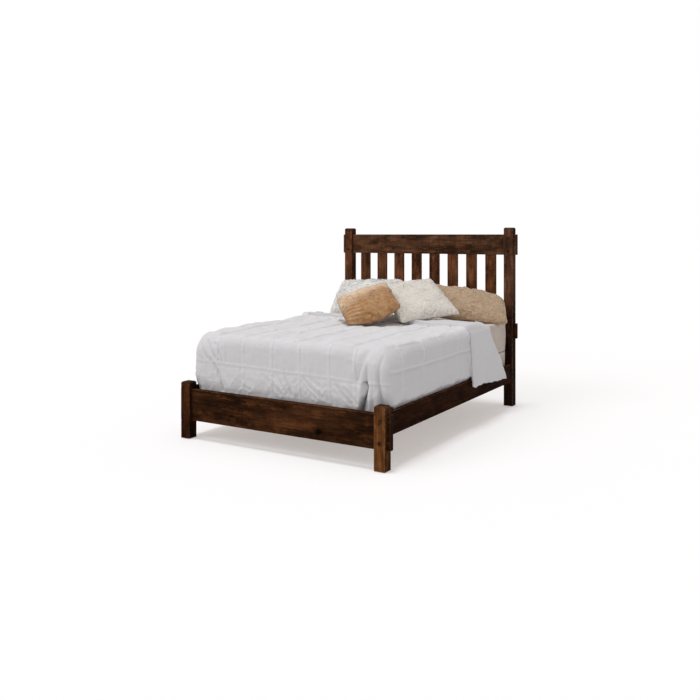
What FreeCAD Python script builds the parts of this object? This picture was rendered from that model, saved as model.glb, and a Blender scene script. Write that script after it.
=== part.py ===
import FreeCAD, Part
import math
import os
import re

import Sketcher

# A queen-size slatted bed in stained wood with its bedding.
# X runs across the bed, Y from the foot to the head and Z up from the floor.
# The origin is on the floor, under the middle of the bed.

SIZES = {
    # Posts
    "post_side": 76.2,
    "head_post_top": 1461.0,
    "foot_post_top": 390.0,
    "post_top_chamfer": 9.0,
    "post_edge_chamfer": 3.0,
    # How much further apart than the mattress's sides and ends the posts' middles are
    "frame_extra_width": 12.0,
    "frame_extra_length": 102.0,
    # Glides under the posts
    "glide_radius": 16.0,
    "glide_height": 3.0,
    "glide_spigot_radius": 3.0,
    "glide_spigot_length": 14.0,
    # Cross rails, whose ends pass right through the posts
    "tenon_projection": 25.0,
    "tenon_chamfer": 4.0,
    "rail_edge_chamfer": 2.5,
    "joint_clearance": 0.2,
    "head_rail_thickness": 42.0,
    "head_rail_setback": 17.0,
    "top_rail_drop": 56.0,
    "top_rail_height": 168.0,
    "lower_rail_bottom": 553.0,
    "lower_rail_height": 123.0,
    "foot_rail_thickness": 38.0,
    "foot_rail_setback": 24.0,
    "foot_rail_drop": 51.0,
    "foot_rail_height": 214.0,
    # Pegs through the posts and tenons
    "peg_radius": 12.0,
    "peg_dome": 5.0,
    "peg_clearance": 0.1,
    "foot_peg_inner_gap": 4.0,
    "head_peg_offset": 51.0,
    "lower_peg_offset": 36.0,
    "foot_peg_offset": 61.5,
    # Upright slats of the headboard
    "slat_count": 8.0,
    "slat_width": 92.0,
    "slat_thickness": 22.0,
    "slat_edge_chamfer": 2.0,
    "slat_tongue_length": 20.0,
    "slat_tongue_shoulder": 6.0,
    "slat_tongue_cheek": 4.0,
    # Side rails
    "side_rail_inset": 6.1,
    "side_rail_thickness": 25.0,
    "side_rail_bottom": 203.0,
    "side_rail_height": 144.5,
    "side_rail_end_gap": 0.4,
    # Hook plates in the rail ends and the plates that receive them in the posts
    "plate_width": 16.0,
    "plate_height": 116.0,
    "plate_thickness": 2.5,
    "plate_clearance": 0.2,
    "plate_screw_spacing": 96.0,
    "hook_spacing": 56.0,
    "hook_thickness": 3.0,
    "hook_reach": 9.0,
    "hook_neck": 12.0,
    "hook_drop": 7.0,
    "hook_clearance": 0.4,
    # Screws
    "screw_shank_radius": 2.2,
    "screw_head_radius": 4.4,
    "screw_head_depth": 2.2,
    "screw_tip": 4.0,
    "screw_clearance": 0.1,
    "plate_screw_length": 30.0,
    "receiver_screw_length": 10.0,
    "ledger_screw_length": 42.0,
    "slat_screw_length": 34.0,
    "beam_screw_length": 50.0,
    # Ledgers inside the side rails
    "ledger_thickness": 25.0,
    "ledger_height": 30.0,
    "ledger_rise": 5.0,
    "ledger_end_gap": 30.0,
    "ledger_screw_count": 8.0,
    "ledger_screw_margin": 100.0,
    # Slats across the bed
    "bed_slat_count": 7.0,
    "bed_slat_width": 89.0,
    "bed_slat_thickness": 19.0,
    "bed_slat_end_gap": 2.0,
    "bed_slat_margin": 130.0,
    "bed_slat_chamfer": 2.0,
    # Centre beam and its legs
    "beam_width": 38.0,
    "beam_height": 60.0,
    "beam_end_gap": 60.0,
    "leg_count": 3.0,
    "leg_side": 44.0,
    "leg_spacing": 600.0,
    "leg_foot_room": 10.0,
    "leg_chamfer": 3.0,
    "leg_bolt_radius": 4.0,
    "leg_bolt_half_length": 26.0,
    "leg_bolt_clearance": 0.1,
    # Levelling feet
    "insert_radius": 6.5,
    "insert_length": 15.0,
    "insert_clearance": 0.1,
    "stem_radius": 4.0,
    "stem_clearance": 0.08,
    "stem_in_leg": 30.0,
    "stem_room": 14.0,
    "collar_radius": 7.5,
    "collar_gap": 2.7,
    "collar_height": 6.0,
    "stem_foot_radius": 5.0,
    "stem_foot_height": 4.0,
    "pad_radius": 19.0,
    "pad_height": 9.0,
    "pad_chamfer": 2.0,
    "pad_socket_clearance": 0.3,
    "pad_socket_bottom": 4.0,
    # Foundation under the mattress
    "foundation_height": 203.0,
    "foundation_inset": 6.0,
    "foundation_corner_radius": 40.0,
    "foundation_edge_radius": 12.0,
    "foundation_side_padding": 6.0,
    "foundation_top_padding": 30.0,
    "foundation_board": 19.0,
    "foundation_slat_count": 9.0,
    "foundation_slat_width": 64.0,
    # Mattress and the sheet fitted over it
    "mattress_width": 1524.0,
    "mattress_length": 2032.0,
    "mattress_height": 232.6,
    "mattress_head_gap": 13.9,
    "mattress_corner_radius": 58.0,
    "mattress_edge_radius": 28.0,
    "sheet_thickness": 1.5,
    "soft_gap": 0.3,
    # Quilted comforter
    "quilt_side_loft": 26.0,
    "quilt_foot_loft": 30.0,
    "quilt_top_loft": 27.0,
    "quilt_shoulder": 32.0,
    "quilt_tuck": 47.5,
    "quilt_rail_gap": 1.3,
    "quilt_lining_gap": 0.7,
    "quilt_puff": 9.0,
    "quilt_fold_depth": 14.0,
    "quilt_corner": 98.0,
    # Turned-back flap of the comforter
    "flap_thickness": 11.7,
    "flap_rail_gap": 1.3,
    "flap_rise": 26.0,
    "flap_hem_from_head": 792.0,
    "flap_hem_lean": 46.0,
    "flap_hem_skew": 90.0,
    "flap_hem_overlap": 48.5,
    "flap_fold_from_head": 472.0,
    "flap_fold_lean": 325.0,
    "flap_fold_overlap": 91.5,
    "flap_web": 14.0,
    # Pillows
    "sham_width": 610.0,
    "slumped_width": 640.0,
    "sham_height": 420.0,
    "sham_thickness": 150.0,
    "square_side": 510.0,
    "square_thickness": 140.0,
    "throw_side": 430.0,
    "throw_thickness": 130.0,
    "pillow_edge": 9.0,
    # Extra length of a cutting body past the face that it opens
    "overrun": 5.0,
}

doc = FreeCAD.newDocument("bed")
sheet = doc.addObject("Spreadsheet::Sheet", "sizes")
for row, (alias, value) in enumerate(SIZES.items(), start=1):
    sheet.set(f"A{row}", alias)
    sheet.set(f"B{row}", str(value))
    sheet.setAlias(f"B{row}", alias)
doc.recompute()
size = {alias: float(sheet.get(alias)) for alias in SIZES}

PARTS = []

X_AXIS = FreeCAD.Vector(1, 0, 0)
Y_AXIS = FreeCAD.Vector(0, 1, 0)
Z_AXIS = FreeCAD.Vector(0, 0, 1)
SIDES = {"left": -1, "right": 1}
ENDS = {"foot": -1, "head": 1}

# Formulas in the spreadsheet's names that several pieces share
POST_SPACING = "(mattress_width + frame_extra_width)"
POST_X = f"({POST_SPACING} / 2)"
POST_Y = "((mattress_length + frame_extra_length) / 2)"
CROSS_RAIL_LENGTH = f"({POST_SPACING} + post_side + 2 * tenon_projection)"
RAIL_OUTER = f"({POST_X} + post_side / 2 - side_rail_inset)"
RAIL_INNER = f"({RAIL_OUTER} - side_rail_thickness)"
RAIL_MIDDLE = f"({RAIL_OUTER} - side_rail_thickness / 2)"
POST_INNER_Y = f"({POST_Y} - post_side / 2)"
RAIL_BOTTOM = {
    "top_rail": "(head_post_top - top_rail_drop - top_rail_height)",
    "lower_rail": "lower_rail_bottom",
    "foot_rail": "(foot_post_top - foot_rail_drop - foot_rail_height)",
}
RAIL_END = f"({POST_INNER_Y} - side_rail_end_gap)"
PLATE_LEVEL = "(side_rail_bottom + side_rail_height / 2)"
LEDGER_BOTTOM = "(side_rail_bottom + ledger_rise)"
COLLAR_BOTTOM = "(pad_height + pad_socket_clearance + collar_gap)"
LEG_BOTTOM = f"({COLLAR_BOTTOM} + collar_height + leg_foot_room)"
LEDGER_TOP = f"({LEDGER_BOTTOM} + ledger_height)"
HEAD_RAIL_Y = f"({POST_Y} - post_side / 2 + head_rail_setback + head_rail_thickness / 2)"
FOOT_RAIL_Y = f"(-{POST_Y} - post_side / 2 + foot_rail_setback + foot_rail_thickness / 2)"
SLAT_PITCH = f"(({POST_SPACING} - post_side + slat_width) / (slat_count + 1))"
FIRST_SLAT_X = f"(-({POST_SPACING} - post_side) / 2 + {SLAT_PITCH} - slat_width / 2)"


def sheet_name(match):
    """Gives a word of a formula its place in the spreadsheet, if it has one."""
    word = match.group()
    return f"sizes.{word}" if word in SIZES else word


def bind(item, place, formula):
    """Ties a property of an object to a formula in the spreadsheet's names."""
    item.setExpression(place, re.sub(r"[a-z][a-z_0-9]+", sheet_name, formula))


def bind_place(item, x="0", y="0", z="0"):
    """Ties the position of an object to three formulas."""
    for letter, formula in zip("xyz", (x, y, z)):
        bind(item, f"Placement.Base.{letter}", formula)


def new_body(label):
    """Starts a piece that is built from features."""
    body = doc.addObject("PartDesign::Body", label)
    body.Label = label
    PARTS.append(body)
    return body


def new_shape(label, shape, placement=None):
    """Adds a piece whose shape is worked out from the spreadsheet's values."""
    item = doc.addObject("Part::Feature", label)
    item.Label = label
    item.Shape = shape
    item.Placement = placement or FreeCAD.Placement()
    PARTS.append(item)
    return item


def origin_feature(body, role):
    """Finds one of the body's own origin planes or axes."""
    return next(item for item in body.Origin.OriginFeatures if item.Role == role)


def centred_rectangle(body, name, role, width, height):
    """Sketches a rectangle centred on the origin of one of the body's planes."""
    sketch = body.newObject("Sketcher::SketchObject", name)
    sketch.AttachmentSupport = [(origin_feature(body, role), "")]
    sketch.MapMode = "FlatFace"
    corners = [FreeCAD.Vector(*corner, 0) for corner in ((-1, -1), (1, -1), (1, 1), (-1, 1))]
    for index, corner in enumerate(corners):
        sketch.addGeometry(Part.LineSegment(corner, corners[(index + 1) % 4]), False)
    for index in range(4):
        sketch.addConstraint(Sketcher.Constraint("Coincident", index, 2, (index + 1) % 4, 1))
    for index in (0, 2):
        sketch.addConstraint(Sketcher.Constraint("Horizontal", index))
    for index in (1, 3):
        sketch.addConstraint(Sketcher.Constraint("Vertical", index))
    sketch.addConstraint(Sketcher.Constraint("Symmetric", 0, 1, 1, 2, -1, 1))
    across = sketch.addConstraint(Sketcher.Constraint("DistanceX", 0, 1, 0, 2, 2))
    sketch.renameConstraint(across, "across")
    bind(sketch, "Constraints.across", width)
    up = sketch.addConstraint(Sketcher.Constraint("DistanceY", 1, 1, 1, 2, 2))
    sketch.renameConstraint(up, "up")
    bind(sketch, "Constraints.up", height)
    return sketch


def pad(body, sketch, length, midplane=False):
    """Raises a sketch into a solid, on one side or both sides of its plane."""
    feature = body.newObject("PartDesign::Pad", "pad")
    feature.Profile = sketch
    feature.Midplane = midplane
    bind(feature, "Length", length)
    return feature


def bar(label, role, width, height, length, midplane=True):
    """Starts a body with a straight bar of rectangular section."""
    body = new_body(label)
    sketch = centred_rectangle(body, f"{label}_section", role, width, height)
    return body, pad(body, sketch, length, midplane)


def cut_box(body, name, extent, low):
    """Cuts a box out of a body, given its extent and its lowest corner."""
    feature = body.newObject("PartDesign::SubtractiveBox", name)
    for side, formula in zip(("Length", "Width", "Height"), extent):
        bind(feature, side, formula)
    bind_place(feature, *low)
    return feature


def add_box(body, name, extent, low):
    """Adds a box to a body, given its extent and its lowest corner."""
    feature = body.newObject("PartDesign::AdditiveBox", name)
    for side, formula in zip(("Length", "Width", "Height"), extent):
        bind(feature, side, formula)
    bind_place(feature, *low)
    return feature


def cut_hole(body, name, radius, depth, direction, start):
    """Drills a round hole from a start point along a direction."""
    feature = body.newObject("PartDesign::SubtractiveCylinder", name)
    bind(feature, "Radius", radius)
    bind(feature, "Height", depth)
    feature.Placement = FreeCAD.Placement(
        FreeCAD.Vector(), FreeCAD.Rotation(Z_AXIS, direction)
    )
    bind_place(feature, *start)
    return feature


def edges_where(feature, test):
    """Names the straight edges of a feature that pass a test."""
    doc.recompute()
    names = []
    for number, edge in enumerate(feature.Shape.Edges, start=1):
        if isinstance(edge.Curve, Part.Line) and test(edge):
            names.append(f"Edge{number}")
    return names


def runs_along(axis):
    """Makes a test for edges that run along an axis."""
    return lambda edge: edge.Curve.Direction.cross(axis).Length < 1e-6


def ends_across(axis):
    """Makes a test for edges that lie square to an axis."""
    return lambda edge: abs(edge.Curve.Direction.dot(axis)) < 1e-6


def chamfer(body, feature, name, amount, test):
    """Chamfers the edges of a feature that pass a test."""
    names = edges_where(feature, test)
    result = body.newObject("PartDesign::Chamfer", name)
    result.Base = (feature, names)
    bind(result, "Size", amount)
    return result


# Posts

def post(end, side):
    """One post with its mortises, peg holes, receiver recess and glide hole."""
    is_head = end == "head"
    body, block = bar(
        f"{end}_post_{side}", "XY_Plane", "post_side", "post_side",
        f"{end}_post_top - glide_height", midplane=False,
    )
    top = size[f"{end}_post_top"] - size["glide_height"]

    def at_top(edge):
        return edge.BoundBox.ZMin > top / 2 and edge.BoundBox.ZLength < top / 2

    eased = chamfer(body, block, "top_chamfer", "post_top_chamfer", at_top)
    eased = chamfer(body, eased, "edge_chamfer", "post_edge_chamfer", runs_along(Z_AXIS))
    rails = [("foot_rail", "foot_rail", "foot_peg_offset")]
    if is_head:
        rails = [
            ("top_rail", "head_rail", "head_peg_offset"),
            ("lower_rail", "head_rail", "lower_peg_offset"),
        ]
    for rail, stock, peg_offset in rails:
        cut_box(
            body, f"{rail}_mortise",
            (
                "post_side + 2 * overrun",
                f"{stock}_thickness + 2 * joint_clearance",
                f"{rail}_height + 2 * joint_clearance",
            ),
            (
                "-post_side / 2 - overrun",
                f"-post_side / 2 + {stock}_setback - joint_clearance",
                f"{RAIL_BOTTOM[rail]} - joint_clearance - glide_height",
            ),
        )
        for sign in ("-", "+"):
            cut_hole(
                body, f"{rail}_peg_hole", "peg_radius + peg_clearance",
                "post_side + 2 * overrun", Y_AXIS,
                (
                    "0",
                    "-post_side / 2 - overrun",
                    f"{RAIL_BOTTOM[rail]} + {rail}_height / 2 {sign} {peg_offset}"
                    " - glide_height",
                ),
            )
    cut_receiver(body, end, side)
    cut_hole(
        body, "glide_hole", "glide_spigot_radius + joint_clearance",
        "glide_spigot_length + joint_clearance + overrun", Z_AXIS, ("0", "0", "-overrun"),
    )
    bind_place(
        body, f"{SIDES[side]} * {POST_X}", f"{ENDS[end]} * {POST_Y}", "glide_height"
    )


def cut_receiver(body, end, side):
    """Recesses a post for its receiver plate, the hooks behind it and its screws."""
    inward = -ENDS[end]
    offset = f"{SIDES[side]} * ({RAIL_MIDDLE} - {POST_X})"
    face = f"{inward} * post_side / 2"
    recess = "(plate_thickness + plate_clearance)"
    start = f"{face} - {recess}" if inward > 0 else f"{face} - overrun"
    cut_box(
        body, "receiver_recess",
        (
            "plate_width + 2 * plate_clearance",
            f"{recess} + overrun",
            "plate_height + 2 * plate_clearance",
        ),
        (
            f"{offset} - plate_width / 2 - plate_clearance",
            start,
            f"{PLATE_LEVEL} - glide_height - plate_height / 2 - plate_clearance",
        ),
    )
    depth = "(hook_reach + hook_clearance)"
    start = f"{face} - {depth}" if inward > 0 else f"{face} - overrun"
    for sign in ("-", "+"):
        cut_box(
            body, "hook_pocket",
            (
                "hook_thickness + 4 * hook_clearance",
                f"{depth} + overrun",
                "hook_neck + 2 * hook_drop + 2 * hook_clearance",
            ),
            (
                f"{offset} - hook_thickness / 2 - 2 * hook_clearance",
                start,
                f"{PLATE_LEVEL} - glide_height {sign} hook_spacing / 2"
                " - hook_neck / 2 - hook_drop - hook_clearance",
            ),
        )
        cut_hole(
            body, "receiver_pilot", "screw_shank_radius + screw_clearance",
            "receiver_screw_length + screw_clearance + overrun", Y_AXIS * -inward,
            (
                offset,
                f"{face} + {inward} * overrun",
                f"{PLATE_LEVEL} - glide_height {sign} plate_screw_spacing / 2",
            ),
        )


for end_name in ENDS:
    for side_name in SIDES:
        post(end_name, side_name)


# Cross rails

def cross_rail(label, rail, stock, peg_offset, level_y, slat_side=None):
    """A rail through both posts, drilled for its pegs and mortised for the slats."""
    body, block = bar(
        label, "YZ_Plane", f"{stock}_thickness", f"{rail}_height", CROSS_RAIL_LENGTH
    )
    eased = chamfer(body, block, "tenon_chamfer", "tenon_chamfer", ends_across(X_AXIS))
    chamfer(body, eased, "long_edges", "rail_edge_chamfer", runs_along(X_AXIS))
    for x_sign in ("-", "+"):
        for z_sign in ("-", "+"):
            cut_hole(
                body, "peg_hole", "peg_radius + peg_clearance",
                f"{stock}_thickness + 2 * overrun", Y_AXIS,
                (
                    f"{x_sign}{POST_X}",
                    f"-{stock}_thickness / 2 - overrun",
                    f"{z_sign}{peg_offset}",
                ),
            )
    if slat_side is not None:
        depth = "(slat_tongue_length + joint_clearance)"
        start = f"-{rail}_height / 2 - overrun"
        if slat_side > 0:
            start = f"{rail}_height / 2 - {depth}"
        mortise = cut_box(
            body, "slat_mortise",
            (
                "slat_width - 2 * slat_tongue_shoulder + 2 * joint_clearance",
                "slat_thickness - 2 * slat_tongue_cheek + 2 * joint_clearance",
                f"{depth} + overrun",
            ),
            (
                f"{FIRST_SLAT_X} - slat_width / 2 + slat_tongue_shoulder - joint_clearance",
                "-slat_thickness / 2 + slat_tongue_cheek - joint_clearance",
                start,
            ),
        )
        pattern = body.newObject("PartDesign::LinearPattern", "slat_mortises")
        pattern.Originals = [mortise]
        pattern.Direction = (origin_feature(body, "X_Axis"), [""])
        bind(pattern, "Length", f"{SLAT_PITCH} * (slat_count - 1)")
        bind(pattern, "Occurrences", "slat_count")
        body.Tip = pattern
    bind_place(body, "0", level_y, f"{RAIL_BOTTOM[rail]} + {rail}_height / 2")


cross_rail("footboard_rail", "foot_rail", "foot_rail", "foot_peg_offset", FOOT_RAIL_Y)
cross_rail(
    "headboard_top_rail", "top_rail", "head_rail", "head_peg_offset", HEAD_RAIL_Y, -1
)
cross_rail(
    "headboard_lower_rail", "lower_rail", "head_rail", "lower_peg_offset", HEAD_RAIL_Y, 1
)


# Upright slats of the headboard

def headboard_slat(index):
    """One upright slat with a tongue at each end, between the two head rails."""
    bottom = "(lower_rail_bottom + lower_rail_height + joint_clearance)"
    length = f"({RAIL_BOTTOM['top_rail']} - joint_clearance - {bottom})"
    body, block = bar(
        f"headboard_slat_{index + 1}", "XY_Plane", "slat_width", "slat_thickness", length
    )
    chamfer(body, block, "long_edges", "slat_edge_chamfer", runs_along(Z_AXIS))
    tongue = "(slat_tongue_length - joint_clearance)"
    add_box(
        body, "tongues",
        (
            "slat_width - 2 * slat_tongue_shoulder",
            "slat_thickness - 2 * slat_tongue_cheek",
            f"{length} + 2 * {tongue}",
        ),
        (
            "-slat_width / 2 + slat_tongue_shoulder",
            "-slat_thickness / 2 + slat_tongue_cheek",
            f"-{length} / 2 - {tongue}",
        ),
    )
    bind_place(
        body, f"{FIRST_SLAT_X} + {index} * {SLAT_PITCH}", HEAD_RAIL_Y,
        f"{bottom} + {length} / 2",
    )


for slat_index in range(int(size["slat_count"])):
    headboard_slat(slat_index)


# Side rails and their ledgers

def screw_places(count, length, margin):
    """Spreads a number of screws evenly along a length, a margin in from its ends."""
    step = (length - 2 * margin) / max(count - 1, 1)
    return [-length / 2 + margin + index * step for index in range(int(count))]


def side_rail(side):
    """A side rail with plate recesses and pilot holes in its ends and for its ledger."""
    sign = SIDES[side]
    body, block = bar(
        f"side_rail_{side}", "XZ_Plane", "side_rail_thickness", "side_rail_height",
        f"2 * {RAIL_END}",
    )
    chamfer(body, block, "long_edges", "rail_edge_chamfer", runs_along(Y_AXIS))
    recess = "(plate_thickness + plate_clearance)"
    for end_sign in (-1, 1):
        start = f"{RAIL_END} - {recess}" if end_sign > 0 else f"-{RAIL_END} - overrun"
        cut_box(
            body, "plate_recess",
            (
                "plate_width + 2 * plate_clearance",
                f"{recess} + overrun",
                "plate_height + 2 * plate_clearance",
            ),
            (
                "-plate_width / 2 - plate_clearance",
                start,
                "-plate_height / 2 - plate_clearance",
            ),
        )
        for z_sign in ("-", "+"):
            cut_hole(
                body, "plate_pilot", "screw_shank_radius + screw_clearance",
                "plate_screw_length + screw_clearance + overrun", Y_AXIS * -end_sign,
                (
                    "0",
                    f"{end_sign} * ({RAIL_END} + overrun)",
                    f"{z_sign}plate_screw_spacing / 2",
                ),
            )
    level = f"{LEDGER_BOTTOM} + ledger_height / 2 - side_rail_bottom - side_rail_height / 2"
    pilot = cut_hole(
        body, "ledger_pilot", "screw_shank_radius + screw_clearance",
        "ledger_screw_length - ledger_thickness + screw_clearance + overrun",
        X_AXIS * sign,
        (
            f"{-sign} * (side_rail_thickness / 2 + overrun)",
            f"-({POST_INNER_Y} - ledger_end_gap - ledger_screw_margin)",
            level,
        ),
    )
    along_ledger(body, pilot, "ledger_pilots")
    bind_place(
        body, f"{sign} * {RAIL_MIDDLE}", "0", "side_rail_bottom + side_rail_height / 2"
    )


def along_ledger(body, feature, name):
    """Repeats a hole at each ledger screw."""
    pattern = body.newObject("PartDesign::LinearPattern", name)
    pattern.Originals = [feature]
    pattern.Direction = (origin_feature(body, "Y_Axis"), [""])
    bind(pattern, "Length", f"2 * ({POST_INNER_Y} - ledger_end_gap - ledger_screw_margin)")
    bind(pattern, "Occurrences", "ledger_screw_count")
    body.Tip = pattern
    return pattern


def ledger(side):
    """The strip screwed inside a side rail, which carries the bed slats."""
    sign = SIDES[side]
    body, block = bar(
        f"ledger_{side}", "XZ_Plane", "ledger_thickness", "ledger_height",
        f"2 * ({POST_INNER_Y} - ledger_end_gap)",
    )
    hole = cut_hole(
        body, "screw_hole", "screw_shank_radius + screw_clearance",
        "ledger_thickness + 2 * overrun", X_AXIS * sign,
        (
            f"{-sign} * (ledger_thickness / 2 + overrun)",
            f"-({POST_INNER_Y} - ledger_end_gap - ledger_screw_margin)",
            "0",
        ),
    )
    along_ledger(body, hole, "screw_holes")
    sink = body.newObject("PartDesign::SubtractiveCone", "screw_sink")
    bind(sink, "Radius1", "screw_head_radius + screw_clearance")
    bind(sink, "Radius2", "screw_shank_radius + screw_clearance")
    bind(sink, "Height", "screw_head_depth")
    sink.Placement = FreeCAD.Placement(
        FreeCAD.Vector(), FreeCAD.Rotation(Z_AXIS, X_AXIS * sign)
    )
    bind_place(
        sink, f"{-sign} * ledger_thickness / 2",
        f"-({POST_INNER_Y} - ledger_end_gap - ledger_screw_margin)", "0",
    )
    along_ledger(body, sink, "screw_sinks")
    for y in bed_slat_places():
        pilot = cut_hole(
            body, "slat_pilot", "screw_shank_radius + screw_clearance",
            "slat_screw_length - bed_slat_thickness + screw_clearance + overrun",
            Z_AXIS * -1, ("0", "0", "ledger_height / 2 + overrun"),
        )
        bind(pilot, "Placement.Base.y", y)
    bind_place(
        body, f"{sign} * ({RAIL_INNER} - ledger_thickness / 2)", "0",
        f"{LEDGER_BOTTOM} + ledger_height / 2",
    )


def bed_slat_places():
    """The formulas for where the bed slats lie along the bed."""
    first = f"-({POST_INNER_Y} - ledger_end_gap - bed_slat_margin)"
    step = f"(2 * ({POST_INNER_Y} - ledger_end_gap - bed_slat_margin) / (bed_slat_count - 1))"
    return [f"{first} + {index} * {step}" for index in range(int(size["bed_slat_count"]))]


for side_name in SIDES:
    side_rail(side_name)
    ledger(side_name)


# Slats across the bed

def bed_slat(index, place_y):
    """One slat across the bed, drilled for the screws at its ends and middle."""
    half_length = f"({RAIL_INNER} - bed_slat_end_gap)"
    body, block = bar(
        f"bed_slat_{index + 1}", "YZ_Plane", "bed_slat_width", "bed_slat_thickness",
        f"2 * {half_length}",
    )
    chamfer(body, block, "long_edges", "bed_slat_chamfer", runs_along(X_AXIS))
    for x in (f"-({RAIL_INNER} - ledger_thickness / 2)", "0",
              f"{RAIL_INNER} - ledger_thickness / 2"):
        cut_hole(
            body, "screw_hole", "screw_shank_radius + screw_clearance",
            "bed_slat_thickness + 2 * overrun", Z_AXIS,
            (x, "0", "-bed_slat_thickness / 2 - overrun"),
        )
        sink = body.newObject("PartDesign::SubtractiveCone", "screw_sink")
        bind(sink, "Radius1", "screw_shank_radius + screw_clearance")
        bind(sink, "Radius2", "screw_head_radius + screw_clearance")
        bind(sink, "Height", "screw_head_depth")
        bind_place(sink, x, "0", "bed_slat_thickness / 2 - screw_head_depth")
    bind_place(body, "0", place_y, f"{LEDGER_TOP} + bed_slat_thickness / 2")


for slat_index, slat_y in enumerate(bed_slat_places()):
    bed_slat(slat_index, slat_y)


# Centre beam and its legs

def leg_places():
    """The formulas for where the centre legs stand along the bed."""
    count = int(size["leg_count"])
    return [f"{index - (count - 1) / 2} * leg_spacing" for index in range(count)]


def centre_beam():
    """The beam under the middle of the bed slats."""
    body, block = bar(
        "centre_beam", "XZ_Plane", "beam_width", "beam_height",
        f"2 * ({POST_INNER_Y} - beam_end_gap)",
    )
    chamfer(body, block, "long_edges", "bed_slat_chamfer", runs_along(Y_AXIS))
    for place_y in bed_slat_places():
        cut_hole(
            body, "slat_pilot", "screw_shank_radius + screw_clearance",
            "beam_screw_length - bed_slat_thickness + screw_clearance + overrun",
            Z_AXIS * -1, ("0", place_y, "beam_height / 2 + overrun"),
        )
    for place_y in leg_places():
        cut_hole(
            body, "leg_bolt_hole", "leg_bolt_radius + leg_bolt_clearance",
            "leg_bolt_half_length + leg_bolt_clearance + overrun", Z_AXIS,
            ("0", place_y, "-beam_height / 2 - overrun"),
        )
    bind_place(body, "0", "0", f"{LEDGER_TOP} - beam_height / 2")


def centre_leg(index, place_y):
    """One leg under the beam, bored for its bolt and its levelling foot."""
    height = f"({LEDGER_TOP} - beam_height - {LEG_BOTTOM})"
    body, block = bar(
        f"centre_leg_{index + 1}", "XY_Plane", "leg_side", "leg_side", height,
        midplane=False,
    )
    chamfer(body, block, "long_edges", "leg_chamfer", runs_along(Z_AXIS))
    cut_hole(
        body, "bolt_hole", "leg_bolt_radius + leg_bolt_clearance",
        "leg_bolt_half_length + leg_bolt_clearance + overrun", Z_AXIS * -1,
        ("0", "0", f"{height} + overrun"),
    )
    cut_hole(
        body, "insert_hole", "insert_radius + insert_clearance",
        "insert_length + insert_clearance + overrun", Z_AXIS, ("0", "0", "-overrun"),
    )
    cut_hole(
        body, "stem_room", "stem_radius + 4 * stem_clearance",
        "stem_in_leg + stem_room", Z_AXIS, ("0", "0", "0"),
    )
    bind_place(body, "0", place_y, LEG_BOTTOM)


centre_beam()
for leg_index, leg_y in enumerate(leg_places()):
    centre_leg(leg_index, leg_y)


# Turned and pressed small pieces

def turned(points):
    """Turns a closed outline of radius and height pairs about the vertical axis."""
    corners = [FreeCAD.Vector(radius, 0, height) for radius, height in points]
    outline = Part.makePolygon(corners + corners[:1])
    return Part.Face(outline).revolve(FreeCAD.Vector(), Z_AXIS, 360)


def copies(shape, placements):
    """Joins placed copies of a shape into one group of separate solids."""
    placed = []
    for placement in placements:
        item = shape.copy()
        item.Placement = placement.multiply(item.Placement)
        placed.append(item)
    return placed


def at(x, y, z, direction=None):
    """A placement at a point, with the vertical axis turned to a direction."""
    turn = FreeCAD.Rotation(Z_AXIS, direction) if direction else FreeCAD.Rotation()
    return FreeCAD.Placement(FreeCAD.Vector(x, y, z), turn)


def screw(length):
    """A countersunk wood screw with its head at the origin, pointing down."""
    shank = size["screw_shank_radius"]
    return turned([
        (0, 0),
        (size["screw_head_radius"], 0),
        (shank, -size["screw_head_depth"]),
        (shank, -length + size["screw_tip"]),
        (0, -length),
    ])


def peg(inner_gap, dome_sides):
    """A turned peg through a post, with shallow domes and short of the inner face by a gap."""
    radius = size["peg_radius"]
    half = size["post_side"] / 2
    dome = size["peg_dome"]
    rod = Part.makeCylinder(radius, 2 * half - inner_gap, FreeCAD.Vector(0, 0, -half))
    sphere_radius = (radius ** 2 + dome ** 2) / (2 * dome)
    for sign in dome_sides:
        centre = FreeCAD.Vector(0, 0, sign * (half + dome - sphere_radius))
        ball = Part.makeSphere(sphere_radius, centre)
        reach = Part.makeCylinder(radius, half + dome, FreeCAD.Vector(), Z_AXIS * sign)
        rod = rod.fuse(ball.common(reach))
    return rod.removeSplitter()


def post_x():
    return (size["mattress_width"] + size["frame_extra_width"]) / 2


def post_y():
    return (size["mattress_length"] + size["frame_extra_length"]) / 2


def post_inner_y():
    return post_y() - size["post_side"] / 2


def rail_middle():
    """How far out the middle of a side rail's thickness lies."""
    outer = post_x() + size["post_side"] / 2 - size["side_rail_inset"]
    return outer - size["side_rail_thickness"] / 2


def rail_inner():
    """How far out the inner face of a side rail lies."""
    return rail_middle() - size["side_rail_thickness"] / 2


def ledger_top():
    return size["side_rail_bottom"] + size["ledger_rise"] + size["ledger_height"]


def plate_level():
    return size["side_rail_bottom"] + size["side_rail_height"] / 2


def rail_bottom(rail):
    """The level of the underside of a cross rail."""
    if rail == "lower_rail":
        return size["lower_rail_bottom"]
    post_top = size["foot_post_top"] if rail == "foot_rail" else size["head_post_top"]
    return post_top - size[f"{rail}_drop"] - size[f"{rail}_height"]


def peg_placements(end, rails):
    """Where the pegs of one end of the bed go, two at each tenon."""
    places = []
    for rail, offset in rails:
        middle = rail_bottom(rail) + size[f"{rail}_height"] / 2
        for sign in SIDES.values():
            for up in (-1, 1):
                z = middle + up * size[offset]
                places.append(at(sign * post_x(), end * post_y(), z, Y_AXIS))
    return places


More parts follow.
